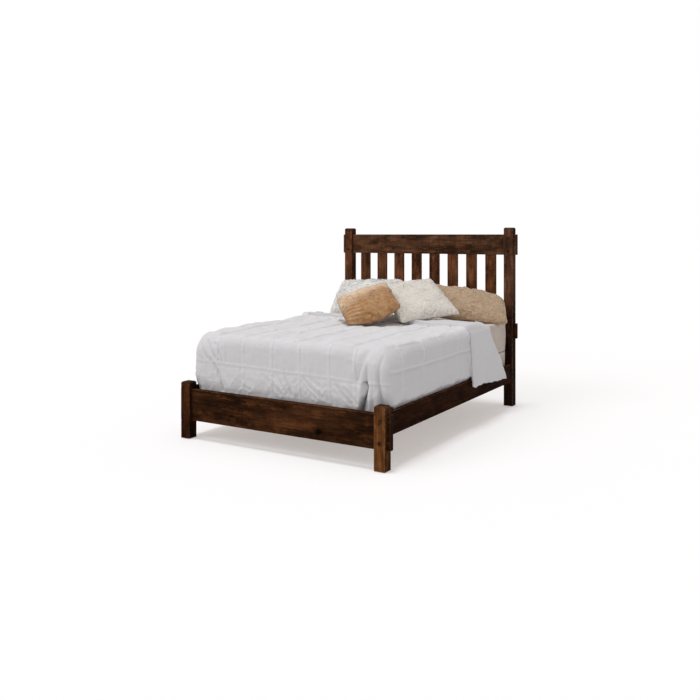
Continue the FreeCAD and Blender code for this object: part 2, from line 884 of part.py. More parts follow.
HEAD_PEG_RAILS = (("top_rail", "head_peg_offset"), ("lower_rail", "lower_peg_offset"))
FOOT_PEG_RAILS = (("foot_rail", "foot_peg_offset"),)
HEAD_PEG = peg(0, (-1, 1))
FOOT_PEG = peg(size["foot_peg_inner_gap"], (-1,))
new_shape("headboard_pegs", Part.makeCompound(copies(HEAD_PEG, peg_placements(1, HEAD_PEG_RAILS))))
new_shape("footboard_pegs", Part.makeCompound(copies(FOOT_PEG, peg_placements(-1, FOOT_PEG_RAILS))))


def post_glide():
    """A furniture glide whose spigot is driven into the foot of a post."""
    bevel = size["glide_height"] / 3
    return turned([
        (0, 0),
        (size["glide_radius"] - bevel, 0),
        (size["glide_radius"], bevel),
        (size["glide_radius"], size["glide_height"]),
        (size["glide_spigot_radius"], size["glide_height"]),
        (size["glide_spigot_radius"], size["glide_height"] + size["glide_spigot_length"]),
        (0, size["glide_height"] + size["glide_spigot_length"]),
    ])


POST_PLACES = [
    at(side * post_x(), end * post_y(), 0) for side in SIDES.values() for end in ENDS.values()
]
new_shape("post_glides", Part.makeCompound(copies(post_glide(), POST_PLACES)))


def plate_blank():
    """A flat plate standing on its edge, its outer face on the XZ plane, facing +Y."""
    low = FreeCAD.Vector(
        -size["plate_width"] / 2, -size["plate_thickness"], -size["plate_height"] / 2
    )
    plate = Part.makeBox(
        size["plate_width"], size["plate_thickness"], size["plate_height"], low
    )
    for sign in (-1, 1):
        z = sign * size["plate_screw_spacing"] / 2
        sink = Part.makeCone(
            size["screw_shank_radius"] + size["screw_clearance"],
            size["screw_head_radius"] + size["screw_clearance"],
            size["screw_head_depth"],
            FreeCAD.Vector(0, -size["screw_head_depth"], z), Y_AXIS,
        )
        hole = Part.makeCylinder(
            size["screw_shank_radius"] + size["screw_clearance"],
            size["plate_thickness"] + size["overrun"],
            FreeCAD.Vector(0, -size["plate_thickness"] - size["overrun"], z), Y_AXIS,
        )
        plate = plate.cut(sink).cut(hole)
    return plate


def hook_outline():
    """The corners of a hook in the YZ plane: a neck with a lip that hangs below it."""
    reach = size["hook_reach"]
    receiver = size["side_rail_end_gap"] + size["plate_thickness"] + size["hook_clearance"]
    top = size["hook_neck"] / 2
    return [
        (0, top),
        (reach, top),
        (reach, -top - size["hook_drop"]),
        (receiver, -top - size["hook_drop"]),
        (receiver, -top),
        (0, -top),
    ]


def hook_plate():
    """A plate with two hooks, for the end of a side rail that faces +Y."""
    plate = plate_blank()
    corners = [FreeCAD.Vector(0, y, z) for y, z in hook_outline()]
    face = Part.Face(Part.makePolygon(corners + corners[:1]))
    hook = face.extrude(X_AXIS * size["hook_thickness"])
    for sign in (-1, 1):
        shift = FreeCAD.Vector(-size["hook_thickness"] / 2, 0, sign * size["hook_spacing"] / 2)
        plate = plate.fuse(hook.translated(shift))
    return plate.removeSplitter()


def receiver_plate():
    """A slotted plate let into a post, its outer face facing +Y."""
    plate = plate_blank()
    width = size["hook_thickness"] + 2 * size["hook_clearance"]
    bottom = -size["hook_neck"] / 2 - size["hook_clearance"]
    height = size["hook_neck"] + size["hook_drop"] + 2 * size["hook_clearance"]
    for sign in (-1, 1):
        low = FreeCAD.Vector(
            -width / 2,
            -size["plate_thickness"] - size["overrun"],
            sign * size["hook_spacing"] / 2 + bottom,
        )
        depth = size["plate_thickness"] + 2 * size["overrun"]
        plate = plate.cut(Part.makeBox(width, depth, height, low))
    return plate


def rail_end_placements(reach, facing):
    """A placement at each rail end; the piece's +Y side faces the post or the rail."""
    places = []
    for side in SIDES.values():
        for end in ENDS.values():
            turn = 0 if end * facing > 0 else 180
            places.append(FreeCAD.Placement(
                FreeCAD.Vector(side * rail_middle(), end * reach, plate_level()),
                FreeCAD.Rotation(Z_AXIS, turn),
            ))
    return places


HOOK_REACH_Y = post_inner_y() - size["side_rail_end_gap"]
new_shape(
    "rail_hook_plates",
    Part.makeCompound(copies(hook_plate(), rail_end_placements(HOOK_REACH_Y, 1))),
)
new_shape(
    "post_receiver_plates",
    Part.makeCompound(copies(receiver_plate(), rail_end_placements(post_inner_y(), -1))),
)


def plate_screws():
    """The screws of all the plates, in the rail ends and in the posts."""
    solids = []
    spread = size["plate_screw_spacing"] / 2
    kinds = (
        (size["plate_screw_length"], HOOK_REACH_Y, 1),
        (size["receiver_screw_length"], post_inner_y(), -1),
    )
    for length, reach, facing in kinds:
        for side in SIDES.values():
            for end in ENDS.values():
                for up in (-1, 1):
                    place = at(
                        side * rail_middle(), end * reach, plate_level() + up * spread,
                        Y_AXIS * end * facing,
                    )
                    solids += copies(screw(length), [place])
    return solids


new_shape("plate_screws", Part.makeCompound(plate_screws()))


def ledger_screws():
    """The screws that hold both ledgers to the side rails."""
    length = 2 * (post_inner_y() - size["ledger_end_gap"])
    level = size["side_rail_bottom"] + size["ledger_rise"] + size["ledger_height"] / 2
    places = []
    for sign in SIDES.values():
        x = sign * (rail_inner() - size["ledger_thickness"])
        for y in screw_places(size["ledger_screw_count"], length, size["ledger_screw_margin"]):
            places.append(at(x, y, level, X_AXIS * -sign))
    return copies(screw(size["ledger_screw_length"]), places)


new_shape("ledger_screws", Part.makeCompound(ledger_screws()))


def slat_screws():
    """The screws that hold the bed slats to the ledgers and the centre beam."""
    length = 2 * (post_inner_y() - size["ledger_end_gap"])
    top = ledger_top() + size["bed_slat_thickness"]
    solids = []
    for y in screw_places(size["bed_slat_count"], length, size["bed_slat_margin"]):
        for sign in SIDES.values():
            x = sign * (rail_inner() - size["ledger_thickness"] / 2)
            solids += copies(screw(size["slat_screw_length"]), [at(x, y, top)])
        solids += copies(screw(size["beam_screw_length"]), [at(0, y, top)])
    return solids


new_shape("slat_screws", Part.makeCompound(slat_screws()))


def leg_y_values():
    count = int(size["leg_count"])
    return [(index - (count - 1) / 2) * size["leg_spacing"] for index in range(count)]


def collar_bottom():
    return size["pad_height"] + size["pad_socket_clearance"] + size["collar_gap"]


def leg_bottom():
    return collar_bottom() + size["collar_height"] + size["leg_foot_room"]


def stem_foot_bottom():
    return size["pad_socket_bottom"] + size["pad_socket_clearance"]


def leg_bolts():
    """Double-ended bolts between the beam and its legs."""
    half = size["leg_bolt_half_length"]
    radius = size["leg_bolt_radius"]
    taper = radius / 2
    bolt = turned([
        (0, -half), (radius - taper, -half), (radius, -half + taper),
        (radius, half - taper), (radius - taper, half), (0, half),
    ])
    level = ledger_top() - size["beam_height"]
    return copies(bolt, [at(0, y, level) for y in leg_y_values()])


new_shape("leg_bolts", Part.makeCompound(leg_bolts()))


def leg_inserts():
    """Threaded inserts in the feet of the legs."""
    bore = size["stem_radius"] + size["stem_clearance"]
    insert = turned([
        (bore, 0), (size["insert_radius"], 0),
        (size["insert_radius"], size["insert_length"]), (bore, size["insert_length"]),
    ])
    return copies(insert, [at(0, y, leg_bottom()) for y in leg_y_values()])


new_shape("leg_inserts", Part.makeCompound(leg_inserts()))


def hexagon(radius, bottom, height):
    """A six-sided collar."""
    corners = []
    for index in range(6):
        angle = math.radians(60 * index)
        corners.append(FreeCAD.Vector(
            radius * math.cos(angle), radius * math.sin(angle), bottom
        ))
    face = Part.Face(Part.makePolygon(corners + corners[:1]))
    return face.extrude(Z_AXIS * height)


def levelling_stem():
    """The screw of a levelling foot: threaded stem, six-sided collar and round foot."""
    foot_bottom = stem_foot_bottom()
    foot_top = foot_bottom + size["stem_foot_height"]
    top = leg_bottom() + size["stem_in_leg"]
    stem = turned([
        (0, foot_bottom),
        (size["stem_foot_radius"], foot_bottom),
        (size["stem_foot_radius"], foot_top),
        (size["stem_radius"], foot_top),
        (size["stem_radius"], top - size["stem_radius"] / 4),
        (3 * size["stem_radius"] / 4, top),
        (0, top),
    ])
    collar = hexagon(size["collar_radius"], collar_bottom(), size["collar_height"])
    return stem.fuse(collar).removeSplitter()


def levelling_pad():
    """The pad that a levelling screw turns in."""
    foot_top = stem_foot_bottom() + size["stem_foot_height"]
    clear = size["pad_socket_clearance"]
    lip_top = size["pad_height"] + clear
    socket = size["stem_foot_radius"] + clear
    throat = size["stem_radius"] + clear
    radius = size["pad_radius"]
    bevel = size["pad_chamfer"]
    return turned([
        (0, 0), (radius, 0), (radius, size["pad_height"] - 2 * bevel),
        (radius - bevel, size["pad_height"] - bevel), (size["collar_radius"], lip_top),
        (throat, lip_top), (throat, foot_top + clear), (socket, foot_top + clear),
        (socket, size["pad_socket_bottom"]), (0, size["pad_socket_bottom"]),
    ])


for leg_index, leg_y in enumerate(leg_y_values()):
    new_shape(f"levelling_stem_{leg_index + 1}", levelling_stem(), at(0, leg_y, 0))
    new_shape(f"levelling_pad_{leg_index + 1}", levelling_pad(), at(0, leg_y, 0))


# Foundation, mattress and fitted sheet

def mattress_head_y():
    """The head end of the mattress, which is pushed up to the lower head rail."""
    rail_front = post_y() - size["post_side"] / 2 + size["head_rail_setback"]
    return rail_front - size["mattress_head_gap"]


def mattress_middle_y():
    return mattress_head_y() - size["mattress_length"] / 2


def rounded_block(width, length, bottom, top, corner, edge=0.0):
    """A block over the mattress's middle with rounded upright corners and rims."""
    low = FreeCAD.Vector(-width / 2, mattress_middle_y() - length / 2, bottom)
    block = Part.makeBox(width, length, top - bottom, low)
    upright = [e for e in block.Edges if abs(e.tangentAt(e.FirstParameter).z) > 0.5]
    block = block.makeFillet(corner, upright)
    if edge:
        rims = [e for e in block.Edges if e.BoundBox.ZLength < edge / 2]
        block = block.makeFillet(edge, rims)
    return block


def foundation_bottom():
    return ledger_top() + size["bed_slat_thickness"] + size["soft_gap"]


def foundation_top():
    return foundation_bottom() + size["foundation_height"]


def mattress_bottom():
    return foundation_top() + size["sheet_thickness"] + 2 * size["soft_gap"]


def mattress_top():
    return mattress_bottom() + size["mattress_height"]


def foundation_cover():
    """The padded cloth cover of the foundation, hollow around its wooden frame."""
    width = size["mattress_width"] - 2 * size["foundation_inset"]
    length = size["mattress_length"] - 2 * size["foundation_inset"]
    outer = rounded_block(
        width, length, foundation_bottom(), foundation_top(),
        size["foundation_corner_radius"], size["foundation_edge_radius"],
    )
    side = size["foundation_side_padding"]
    inner = rounded_block(
        width - 2 * side, length - 2 * side, foundation_bottom() + side,
        foundation_top() - size["foundation_top_padding"],
        size["foundation_corner_radius"] - side,
    )
    return outer.cut(inner)


def foundation_frame():
    """The boards inside the foundation: two long sides, two ends and cross slats."""
    board = size["foundation_board"]
    gap = size["foundation_side_padding"] + size["soft_gap"]
    half_x = size["mattress_width"] / 2 - size["foundation_inset"] - gap
    half_y = size["mattress_length"] / 2 - size["foundation_inset"] - gap
    corner = size["foundation_corner_radius"]
    bottom = foundation_bottom() + gap
    top = foundation_top() - size["foundation_top_padding"] - size["soft_gap"]
    middle = mattress_middle_y()
    height = top - board - bottom
    boards = []
    for sign in (-1, 1):
        low = FreeCAD.Vector(
            sign * (half_x - board / 2) - board / 2, middle - half_y + corner, bottom
        )
        boards.append(Part.makeBox(board, 2 * (half_y - corner), height, low))
        low = FreeCAD.Vector(
            -half_x + corner, middle + sign * (half_y - board / 2) - board / 2, bottom
        )
        boards.append(Part.makeBox(2 * (half_x - corner), board, height, low))
    slat_width = size["foundation_slat_width"]
    count = size["foundation_slat_count"]
    for y in screw_places(count, 2 * half_y, corner + slat_width):
        low = FreeCAD.Vector(-half_x + board, middle + y - slat_width / 2, bottom)
        boards.append(Part.makeBox(2 * (half_x - board), slat_width, board, low))
        low = FreeCAD.Vector(-half_x, middle + y - slat_width / 2, bottom + height)
        boards.append(Part.makeBox(2 * half_x, slat_width, board, low))
    return Part.makeCompound(boards)


def mattress():
    return rounded_block(
        size["mattress_width"], size["mattress_length"], mattress_bottom(),
        mattress_top(), size["mattress_corner_radius"], size["mattress_edge_radius"],
    )


def sheet_outline(grow):
    """The mattress's outline grown by a thickness on every side."""
    return rounded_block(
        size["mattress_width"] + 2 * grow, size["mattress_length"] + 2 * grow,
        mattress_bottom() - grow, mattress_top() + grow,
        size["mattress_corner_radius"] + grow, size["mattress_edge_radius"] + grow,
    )


def fitted_sheet():
    """A thin sheet over the top and sides of the mattress, gathered under its rim."""
    inner = size["soft_gap"]
    shell = sheet_outline(inner + size["sheet_thickness"]).cut(sheet_outline(inner))
    rim = size["mattress_edge_radius"] + size["mattress_corner_radius"]
    opening = rounded_block(
        size["mattress_width"] - 2 * rim, size["mattress_length"] - 2 * rim,
        mattress_bottom() - rim, mattress_bottom() + rim, size["mattress_corner_radius"],
    )
    return shell.cut(opening)


new_shape("foundation_frame", foundation_frame())
new_shape("foundation_cover", foundation_cover())
new_shape("mattress", mattress())
new_shape("fitted_sheet", fitted_sheet())


# Comforter: hanging sides and foot, quilted top and turned-back flap

# Where the seams meet the foot, as shares of the mattress's half width
FOOT_SEAM_SHARES = (-0.72, -0.42, -0.113, 0.18, 0.48, 0.72)
# Where the seams cross the sides, as shares of the mattress's half length
SIDE_SEAM_SHARES = (-0.84, -0.565, -0.3, -0.035, 0.23, 0.55, 0.84)
# Fold of the cloth beside each foot corner, as shares of the mattress's half width
FOLD_CREST_SHARE = 0.79
FOLD_VALLEY_SHARE = 0.84
# Level of the seam round the hanging cloth, as a share of the drop to the rail
ROUND_SEAM_SHARE = 0.42


def side_rail_top():
    return size["side_rail_bottom"] + size["side_rail_height"]


def quilt_side():
    """How far out the hanging sides reach at their seams."""
    return size["mattress_width"] / 2 + size["quilt_side_loft"]


def quilt_foot():
    """How far towards the foot the hanging end reaches at its seams."""
    return size["mattress_length"] / 2 - mattress_middle_y() + size["quilt_foot_loft"]


def quilt_top():
    return mattress_top() + size["quilt_top_loft"]


def quilt_bottom():
    return side_rail_top() - size["quilt_tuck"]


def quilt_shoulder():
    """The level where the hanging sides start to turn over the edge."""
    return quilt_top() - size["quilt_shoulder"]


def hanging_levels():
    """Each level of the hanging cloth: height, side, foot, puff share, fold share."""
    tucked = rail_inner() - size["quilt_rail_gap"]
    side = quilt_side()
    foot = quilt_foot()
    puff = size["quilt_puff"]
    rail = side_rail_top()
    shoulder = quilt_shoulder()
    top = quilt_top()
    seam = shoulder - ROUND_SEAM_SHARE * (shoulder - rail)
    step = (top - shoulder) / 4
    return [
        (quilt_bottom(), tucked, foot, 0.1, 1.0),
        (rail + 2 * size["quilt_rail_gap"], tucked, foot, 0.1, 1.0),
        (rail + 3 * puff, side - puff / 3, foot, 0.8, 1.0),
        ((rail + seam) / 2, side, foot, 1.0, 0.9),
        (seam, side - puff / 2, foot - puff / 2, 0.3, 0.7),
        ((seam + shoulder) / 2, side, foot, 1.0, 0.4),
        (shoulder, side - puff / 2, foot - puff / 2, 0.8, 0.1),
        (shoulder + 2 * step, side - 2 * puff, foot - 2 * puff, 0.5, 0.0),
        (top - step / 2, side - 4 * puff, foot - 4 * puff, 0.2, 0.0),
        (top, side - 6 * puff, foot - 6 * puff, 0.1, 0.0),
    ]


def half_outline(side, foot, fold):
    """The corners of the hanging cloth from the head to the middle of the foot, right side."""
    half_width = size["mattress_width"] / 2
    half_length = size["mattress_length"] / 2
    depth = fold * size["quilt_fold_depth"]
    corner_x = quilt_side() - size["quilt_corner"]
    corner_y = -quilt_foot() + size["quilt_corner"]
    points = [
        (side, mattress_middle_y() + share * half_length)
        for share in reversed(SIDE_SEAM_SHARES)
    ]
    points += [
        (side, corner_y),
        (
            side - (side - corner_x) / 3 - depth / 3,
            -foot + (corner_y + foot) / 3 + depth / 3,
        ),
        (corner_x, -foot),
        (FOLD_VALLEY_SHARE * half_width, -foot + depth),
        (FOLD_CREST_SHARE * half_width, -foot),
    ]
    points += [(share * half_width, -foot) for share in reversed(FOOT_SEAM_SHARES) if share > 0]
    return points


def puffed_wire(points, height, puff):
    """A closed outline at a height, each side but the last an arc that swells outward."""
    corners = [FreeCAD.Vector(x, y, height) for x, y in points]
    edges = []
    for start, end in zip(corners, corners[1:]):
        run = end - start
        outward = FreeCAD.Vector(-run.y, run.x, 0).normalize()
        swell = min(puff, run.Length / 6)
        middle = (start + end) * 0.5 + outward * swell
        edges.append(Part.Arc(start, middle, end).toShape())
    edges.append(Part.makeLine(corners[-1], corners[0]))
    return Part.Wire(edges)


def hanging_outline(level):
    """The whole outline of the hanging cloth at one level."""
    height, side, foot, puff_share, fold_share = level
    right = half_outline(side, foot, fold_share)
    left = [(-x, y) for x, y in reversed(right)]
    half_width = size["mattress_width"] / 2
    middle = [(share * half_width, -foot) for share in FOOT_SEAM_SHARES[2:3]]
    return puffed_wire(right + middle + left, height, puff_share * size["quilt_puff"])


def quilted_top():
    """The quilted top: arcs across the bed between seams, lofted along it."""
    half_width = size["mattress_width"] / 2
    half_length = size["mattress_length"] / 2
    puff = size["quilt_puff"]
    edge = quilt_side() - 6 * puff - size["quilt_rail_gap"]
    base = quilt_top() - puff / 2
    rim = quilt_top() + puff / 6
    seam = rim + puff / 3
    xs = [share * half_width for share in FOOT_SEAM_SHARES]
    middle = mattress_middle_y()
    stops = [-quilt_foot() + 6 * puff + size["quilt_rail_gap"]]
    swells = [0.15]
    seams = [middle + share * half_length for share in SIDE_SEAM_SHARES[:6]]
    for near, far in zip(seams, seams[1:]):
        stops += [near, (near + far) / 2]
        swells += [0.25, 1.0]
    stops.append(seams[-1])
    swells.append(0.25)
    wires = []
    for y, swell in zip(stops, swells):
        corners = [FreeCAD.Vector(-edge, y, rim)]
        corners += [FreeCAD.Vector(x, y, seam) for x in xs]
        corners += [FreeCAD.Vector(edge, y, rim)]
        edges = []
        for start, end in zip(corners, corners[1:]):
            peak = (start + end) * 0.5 + Z_AXIS * swell * puff
            edges.append(Part.Arc(start, peak, end).toShape())
        right = FreeCAD.Vector(edge, y, base)
        left = FreeCAD.Vector(-edge, y, base)
        edges.append(Part.makeLine(corners[-1], right))
        edges.append(Part.makeLine(right, left))
        edges.append(Part.makeLine(left, corners[0]))
        wires.append(Part.Wire(edges))
    return Part.makeLoft(wires, True, True)


def flap_inner():
    """How far out the hanging ends of the flap start, just clear of the side rails."""
    return rail_inner() + size["side_rail_thickness"] + size["flap_rail_gap"]


def flap_outer():
    return flap_inner() + size["flap_thickness"]


def flap_top():
    return quilt_top() + size["flap_rise"]


def fold_foot():
    """The lowest level of the flap at the fold."""
    return side_rail_top() - size["flap_fold_overlap"]


def flap_wire(top_y, lean, drop, skew, swell):
    """One outline of the flap, a band over the bed in a plane that leans and is skewed."""
    puff = size["quilt_puff"]
    outer = flap_outer()
    inner = flap_inner()
    top = flap_top()
    under = quilt_top() - puff / 3
    slope = lean / (top - drop)

    def spot(x, z):
        return FreeCAD.Vector(x, top_y + skew * x + slope * (top - z), z)

    seams = [share * size["mattress_width"] / 2 for share in FOOT_SEAM_SHARES]
    shoulder = quilt_shoulder() + puff
    crown = [(outer - 4 * puff, top - puff / 2)]
    crown += [(x, top) for x in reversed(seams)]
    crown += [(-outer + 4 * puff, top - puff / 2)]
    edges = [
        Part.makeLine(spot(outer, drop), spot(outer, shoulder)),
        Part.Arc(
            spot(outer, shoulder), spot(outer - puff, top - 2 * puff), spot(*crown[0])
        ).toShape(),
    ]
    for (x0, z0), (x1, z1) in zip(crown, crown[1:]):
        peak = spot((x0 + x1) / 2, (z0 + z1) / 2 + swell * puff)
        edges.append(Part.Arc(spot(x0, z0), peak, spot(x1, z1)).toShape())
    edges += [
        Part.Arc(
            spot(*crown[-1]), spot(-outer + puff, top - 2 * puff), spot(-outer, shoulder)
        ).toShape(),
        Part.makeLine(spot(-outer, shoulder), spot(-outer, drop)),
    ]
    lining = [
        (-outer, drop), (-inner, drop), (-inner, shoulder),
        (-outer + 7 * puff, under), (outer - 7 * puff, under),
        (inner, shoulder), (inner, drop), (outer, drop),
    ]
    for (x0, z0), (x1, z1) in zip(lining, lining[1:]):
        edges.append(Part.makeLine(spot(x0, z0), spot(x1, z1)))
    return Part.Wire(edges)


def flap():
    """The turned-back end of the comforter, which hangs outside the side rails."""
    hem_skew = -size["flap_hem_skew"] / flap_outer()
    hem = (
        mattress_head_y() - size["flap_hem_from_head"], size["flap_hem_lean"],
        side_rail_top() - size["flap_hem_overlap"], hem_skew,
    )
    fold = (
        mattress_head_y() - size["flap_fold_from_head"], size["flap_fold_lean"],
        fold_foot(), 0,
    )
    between = [(near + far) / 2 for near, far in zip(hem, fold)]
    wires = [flap_wire(*hem, 0.2), flap_wire(*between, 1.0), flap_wire(*fold, 0.3)]
    return Part.makeLoft(wires, True, True)


def fold_line(z):
    """Where the comforter turns back, at a height."""
    slope = size["flap_fold_lean"] / (flap_top() - fold_foot())
    return mattress_head_y() - size["flap_fold_from_head"] + slope * (flap_top() - z)


def beyond_fold():
    """The space on the head side of the leaning fold line."""
    reach = flap_outer() + size["overrun"]
    low = quilt_bottom() - size["overrun"]
    high = flap_top() + 4 * size["overrun"]
    corners = [
        (fold_line(low), low), (fold_line(high), high),
        (post_y(), high), (post_y(), low),
    ]
    points = [FreeCAD.Vector(-reach, y, z) for y, z in corners]
    face = Part.Face(Part.makePolygon(points + points[:1]))
    return face.extrude(X_AXIS * 2 * reach)


def fold_web(sign):
    """The turn of the cloth at the fold, which joins the flap to the layer below."""
    low = side_rail_top() + 3 * size["quilt_puff"]
    high = quilt_shoulder()
    web = size["flap_web"]
    start = quilt_side() - size["quilt_puff"]
    corners = [
        (fold_line(low) - web, low), (fold_line(low), low),
        (fold_line(high), high), (fold_line(high) - web, high),
    ]
    points = [FreeCAD.Vector(sign * start, y, z) for y, z in corners]
    face = Part.Face(Part.makePolygon(points + points[:1]))
    depth = flap_outer() - size["flap_thickness"] / 2 - start
    return face.extrude(X_AXIS * sign * depth)


def comforter():
    """The whole comforter, hollow over the dressed mattress and the foundation."""
    outer = Part.makeLoft([hanging_outline(level) for level in hanging_levels()], True, True)
    lining = size["soft_gap"] + size["sheet_thickness"] + size["quilt_lining_gap"]
    hollow = rounded_block(
        size["mattress_width"] + 2 * lining, size["mattress_length"] + 2 * lining,
        quilt_bottom() - size["overrun"], mattress_top() + lining,
        size["mattress_corner_radius"],
    )
    cloth = outer.cut(hollow).fuse(quilted_top()).cut(beyond_fold())
    cloth = cloth.fuse(flap())
    for sign in (-1, 1):
        cloth = cloth.fuse(fold_web(sign))
    return cloth


new_shape("comforter", comforter())


# Pillows

# Sections along a pillow's width, in shares: the place from the middle to an end, the
# lower and upper edge of the height, and the swell of the thickness
PLUMP_SHARES = (
    (-1.0, -0.5, 0.5, 0.0), (-0.95, -0.492, 0.492, 0.3), (-0.82, -0.475, 0.475, 0.6),
    (-0.5, -0.462, 0.462, 0.9), (0.0, -0.458, 0.458, 1.0), (0.5, -0.462, 0.462, 0.9),
    (0.82, -0.475, 0.475, 0.6), (0.95, -0.492, 0.492, 0.3), (1.0, -0.5, 0.5, 0.0),
)
# The same for a pillow whose right end has slumped over the edge of the bed
SLUMPED_SHARES = PLUMP_SHARES[:4] + (
    (0.0, -0.46, 0.455, 1.0), (0.5, -0.47, 0.44, 0.9), (0.82, -0.46, 0.32, 0.65),
    (0.95, -0.41, 0.14, 0.4), (1.0, -0.36, -0.08, 0.15),
)


def pillow(width, height, thickness, section_shares):
    """A crowned pillow with drawn-in edges, upright, its middle at the origin."""
    edge = size["pillow_edge"] / 2
    seam = 1.5 * edge
    wires = []
    for place_share, low_share, high_share, swell_share in section_shares:
        x = place_share * width / 2
        low = low_share * height
        high = high_share * height
        swell = seam + swell_share * (thickness / 2 - seam)
        front_low = FreeCAD.Vector(x, -edge, low)
        front_high = FreeCAD.Vector(x, -edge, high)
        back_high = FreeCAD.Vector(x, edge, high)
        back_low = FreeCAD.Vector(x, edge, low)
        middle = (low + high) / 2
        wires.append(Part.Wire([
            Part.Arc(front_low, FreeCAD.Vector(x, -swell, middle), front_high).toShape(),
            Part.makeLine(front_high, back_high),
            Part.Arc(back_high, FreeCAD.Vector(x, swell, middle), back_low).toShape(),
            Part.makeLine(back_low, front_low),
        ]))
    return Part.makeLoft(wires, True, True)


def propped(middle, yaw, tilt, roll):
    """A pillow's placement: rolled in its own plane, tilted back, then turned."""
    turn = FreeCAD.Rotation(Z_AXIS, yaw)
    turn = turn.multiply(FreeCAD.Rotation(X_AXIS, -tilt))
    turn = turn.multiply(FreeCAD.Rotation(Y_AXIS, roll))
    return FreeCAD.Placement(middle, turn)


# Where the middle of each pillow lies, as shares: across the mattress's half width, and
# from its head end and up from what it rests on, both of the pillow's own height
PILLOW_PLACE_SHARES = {
    "pillow_white": (-0.611, 0.4367, 0.3665),
    "pillow_tan": (0.6475, 0.5298, 0.3375),
    "pillow_cream": (0.311, 1.1714, 0.271),
    "pillow_gold": (-0.0245, 2.1656, 0.298),
}
# How each pillow is turned, tilted back and rolled, in degrees
PILLOW_TURNS = {
    "pillow_white": (5.0, 47.9, -2.6),
    "pillow_tan": (41.0, 56.7, 11.8),
    "pillow_cream": (42.6, 60.9, -11.7),
    "pillow_gold": (-0.5, 62.6, -41.3),
}
# Each pillow's width, height and thickness, its sections and what it rests on
PILLOW_STOCK = {
    "pillow_white": ("sham_width", "sham_height", "sham_thickness", PLUMP_SHARES, mattress_top),
    "pillow_tan": (
        "slumped_width", "sham_height", "sham_thickness", SLUMPED_SHARES, mattress_top
    ),
    "pillow_cream": ("square_side", "square_side", "square_thickness", PLUMP_SHARES, flap_top),
    "pillow_gold": ("throw_side", "throw_side", "throw_thickness", PLUMP_SHARES, flap_top),
}
for pillow_name, (width, height, thickness, sections, support) in PILLOW_STOCK.items():
    across_share, back_share, up_share = PILLOW_PLACE_SHARES[pillow_name]
    middle = FreeCAD.Vector(
        across_share * size["mattress_width"] / 2,
        mattress_head_y() - back_share * size[height],
        support() + up_share * size[height],
    )
    new_shape(
        pillow_name, pillow(size[width], size[height], size[thickness], sections),
        propped(middle, *PILLOW_TURNS[pillow_name]),
    )


# Check and write

doc.recompute()
for item in doc.Objects:
    if "Invalid" in item.State or "Error" in item.State:
        raise RuntimeError(f"{item.Name} failed: {item.State}")
for item in PARTS:
    if item.Shape.isNull() or not item.Shape.isValid():
        raise RuntimeError(f"{item.Label} has no valid shape")

os.makedirs("parts", exist_ok=True)
for item in PARTS:
    item.Shape.exportStep(f"parts/{item.Label}.step")
print(len(PARTS), "nodes written")
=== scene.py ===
import math

import bpy
import numpy as np
from mathutils import Euler, Matrix, Vector


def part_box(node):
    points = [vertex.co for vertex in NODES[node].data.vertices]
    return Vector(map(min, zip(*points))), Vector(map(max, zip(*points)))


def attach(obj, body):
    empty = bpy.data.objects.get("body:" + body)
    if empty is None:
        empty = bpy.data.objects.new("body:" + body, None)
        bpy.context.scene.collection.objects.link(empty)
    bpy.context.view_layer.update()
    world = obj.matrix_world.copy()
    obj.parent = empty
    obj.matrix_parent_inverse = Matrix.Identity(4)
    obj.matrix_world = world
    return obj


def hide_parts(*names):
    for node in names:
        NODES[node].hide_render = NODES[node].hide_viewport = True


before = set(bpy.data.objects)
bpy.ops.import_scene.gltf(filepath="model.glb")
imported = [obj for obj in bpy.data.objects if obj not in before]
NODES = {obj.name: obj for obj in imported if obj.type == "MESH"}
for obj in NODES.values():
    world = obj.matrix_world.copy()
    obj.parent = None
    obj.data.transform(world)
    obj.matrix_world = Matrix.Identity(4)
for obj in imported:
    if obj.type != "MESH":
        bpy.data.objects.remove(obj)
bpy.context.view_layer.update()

# A queen-size slatted bed in stained wood with its bedding, in metres.
# X runs across the bed, Y from the foot to the head and Z up from the floor.

# The comforter's seams, where its solid has them
FOOT_SEAM_X = (-0.5486, -0.3200, -0.0861, 0.1372, 0.3658, 0.5486)
SIDE_SEAM_Y = (-0.8374, -0.5580, -0.2888, -0.0196, 0.2497, 0.5748)
# Its outside without its puffs: half its width, its foot and its top
QUILT_SIDE = 0.791
QUILT_FOOT = 1.034
QUILT_TOP = 0.722
# The same of its lining, with the radii of the lining's corners and shoulders
LINING_SIDE = 0.7635
LINING_FOOT = 1.0015
LINING_TOP = 0.6985
LINING_CORNER = 0.058
LINING_SHOULDER = 0.028
# The turned-back flap: half its width, its top, and how thick it is
FLAP_SIDE = 0.8225
FLAP_TOP = 0.748
FLAP_THICKNESS = 0.009
FLAP_ROUNDING = (0.075, 0.115)
# What lies above or beyond these is the flap, from its hem to the head; the hem's Y at the
# middle of the bed
FLAP_ABOVE = 0.735
FLAP_BEYOND = 0.7985
HEM_MIDDLE = 0.240
# The fold's end in the scene: so much nearer to the foot, and so much lower, than the solid's
FOLD_FORWARD = 0.070
FOLD_LOWER = 0.020
# The heights of the seams that run round the foot end and the sides
ROW_FOOT = 0.536
ROW_SIDE = 0.572
# Where the comforter goes down behind the rails: the rails' tops and middles, the room inside
# them and behind the footboard, and the room that the flap has outside the side rails
RAIL_TOP = 0.353
RAIL_MIDDLE = 0.786
INSIDE_RAILS = 0.7738
INSIDE_FOOTBOARD = 1.0415
FLAP_ROOM = (0.8012, 0.8295)
# A distance from any seam at which nothing of it shows
FAR = 0.2


# Numbers that vary over a surface


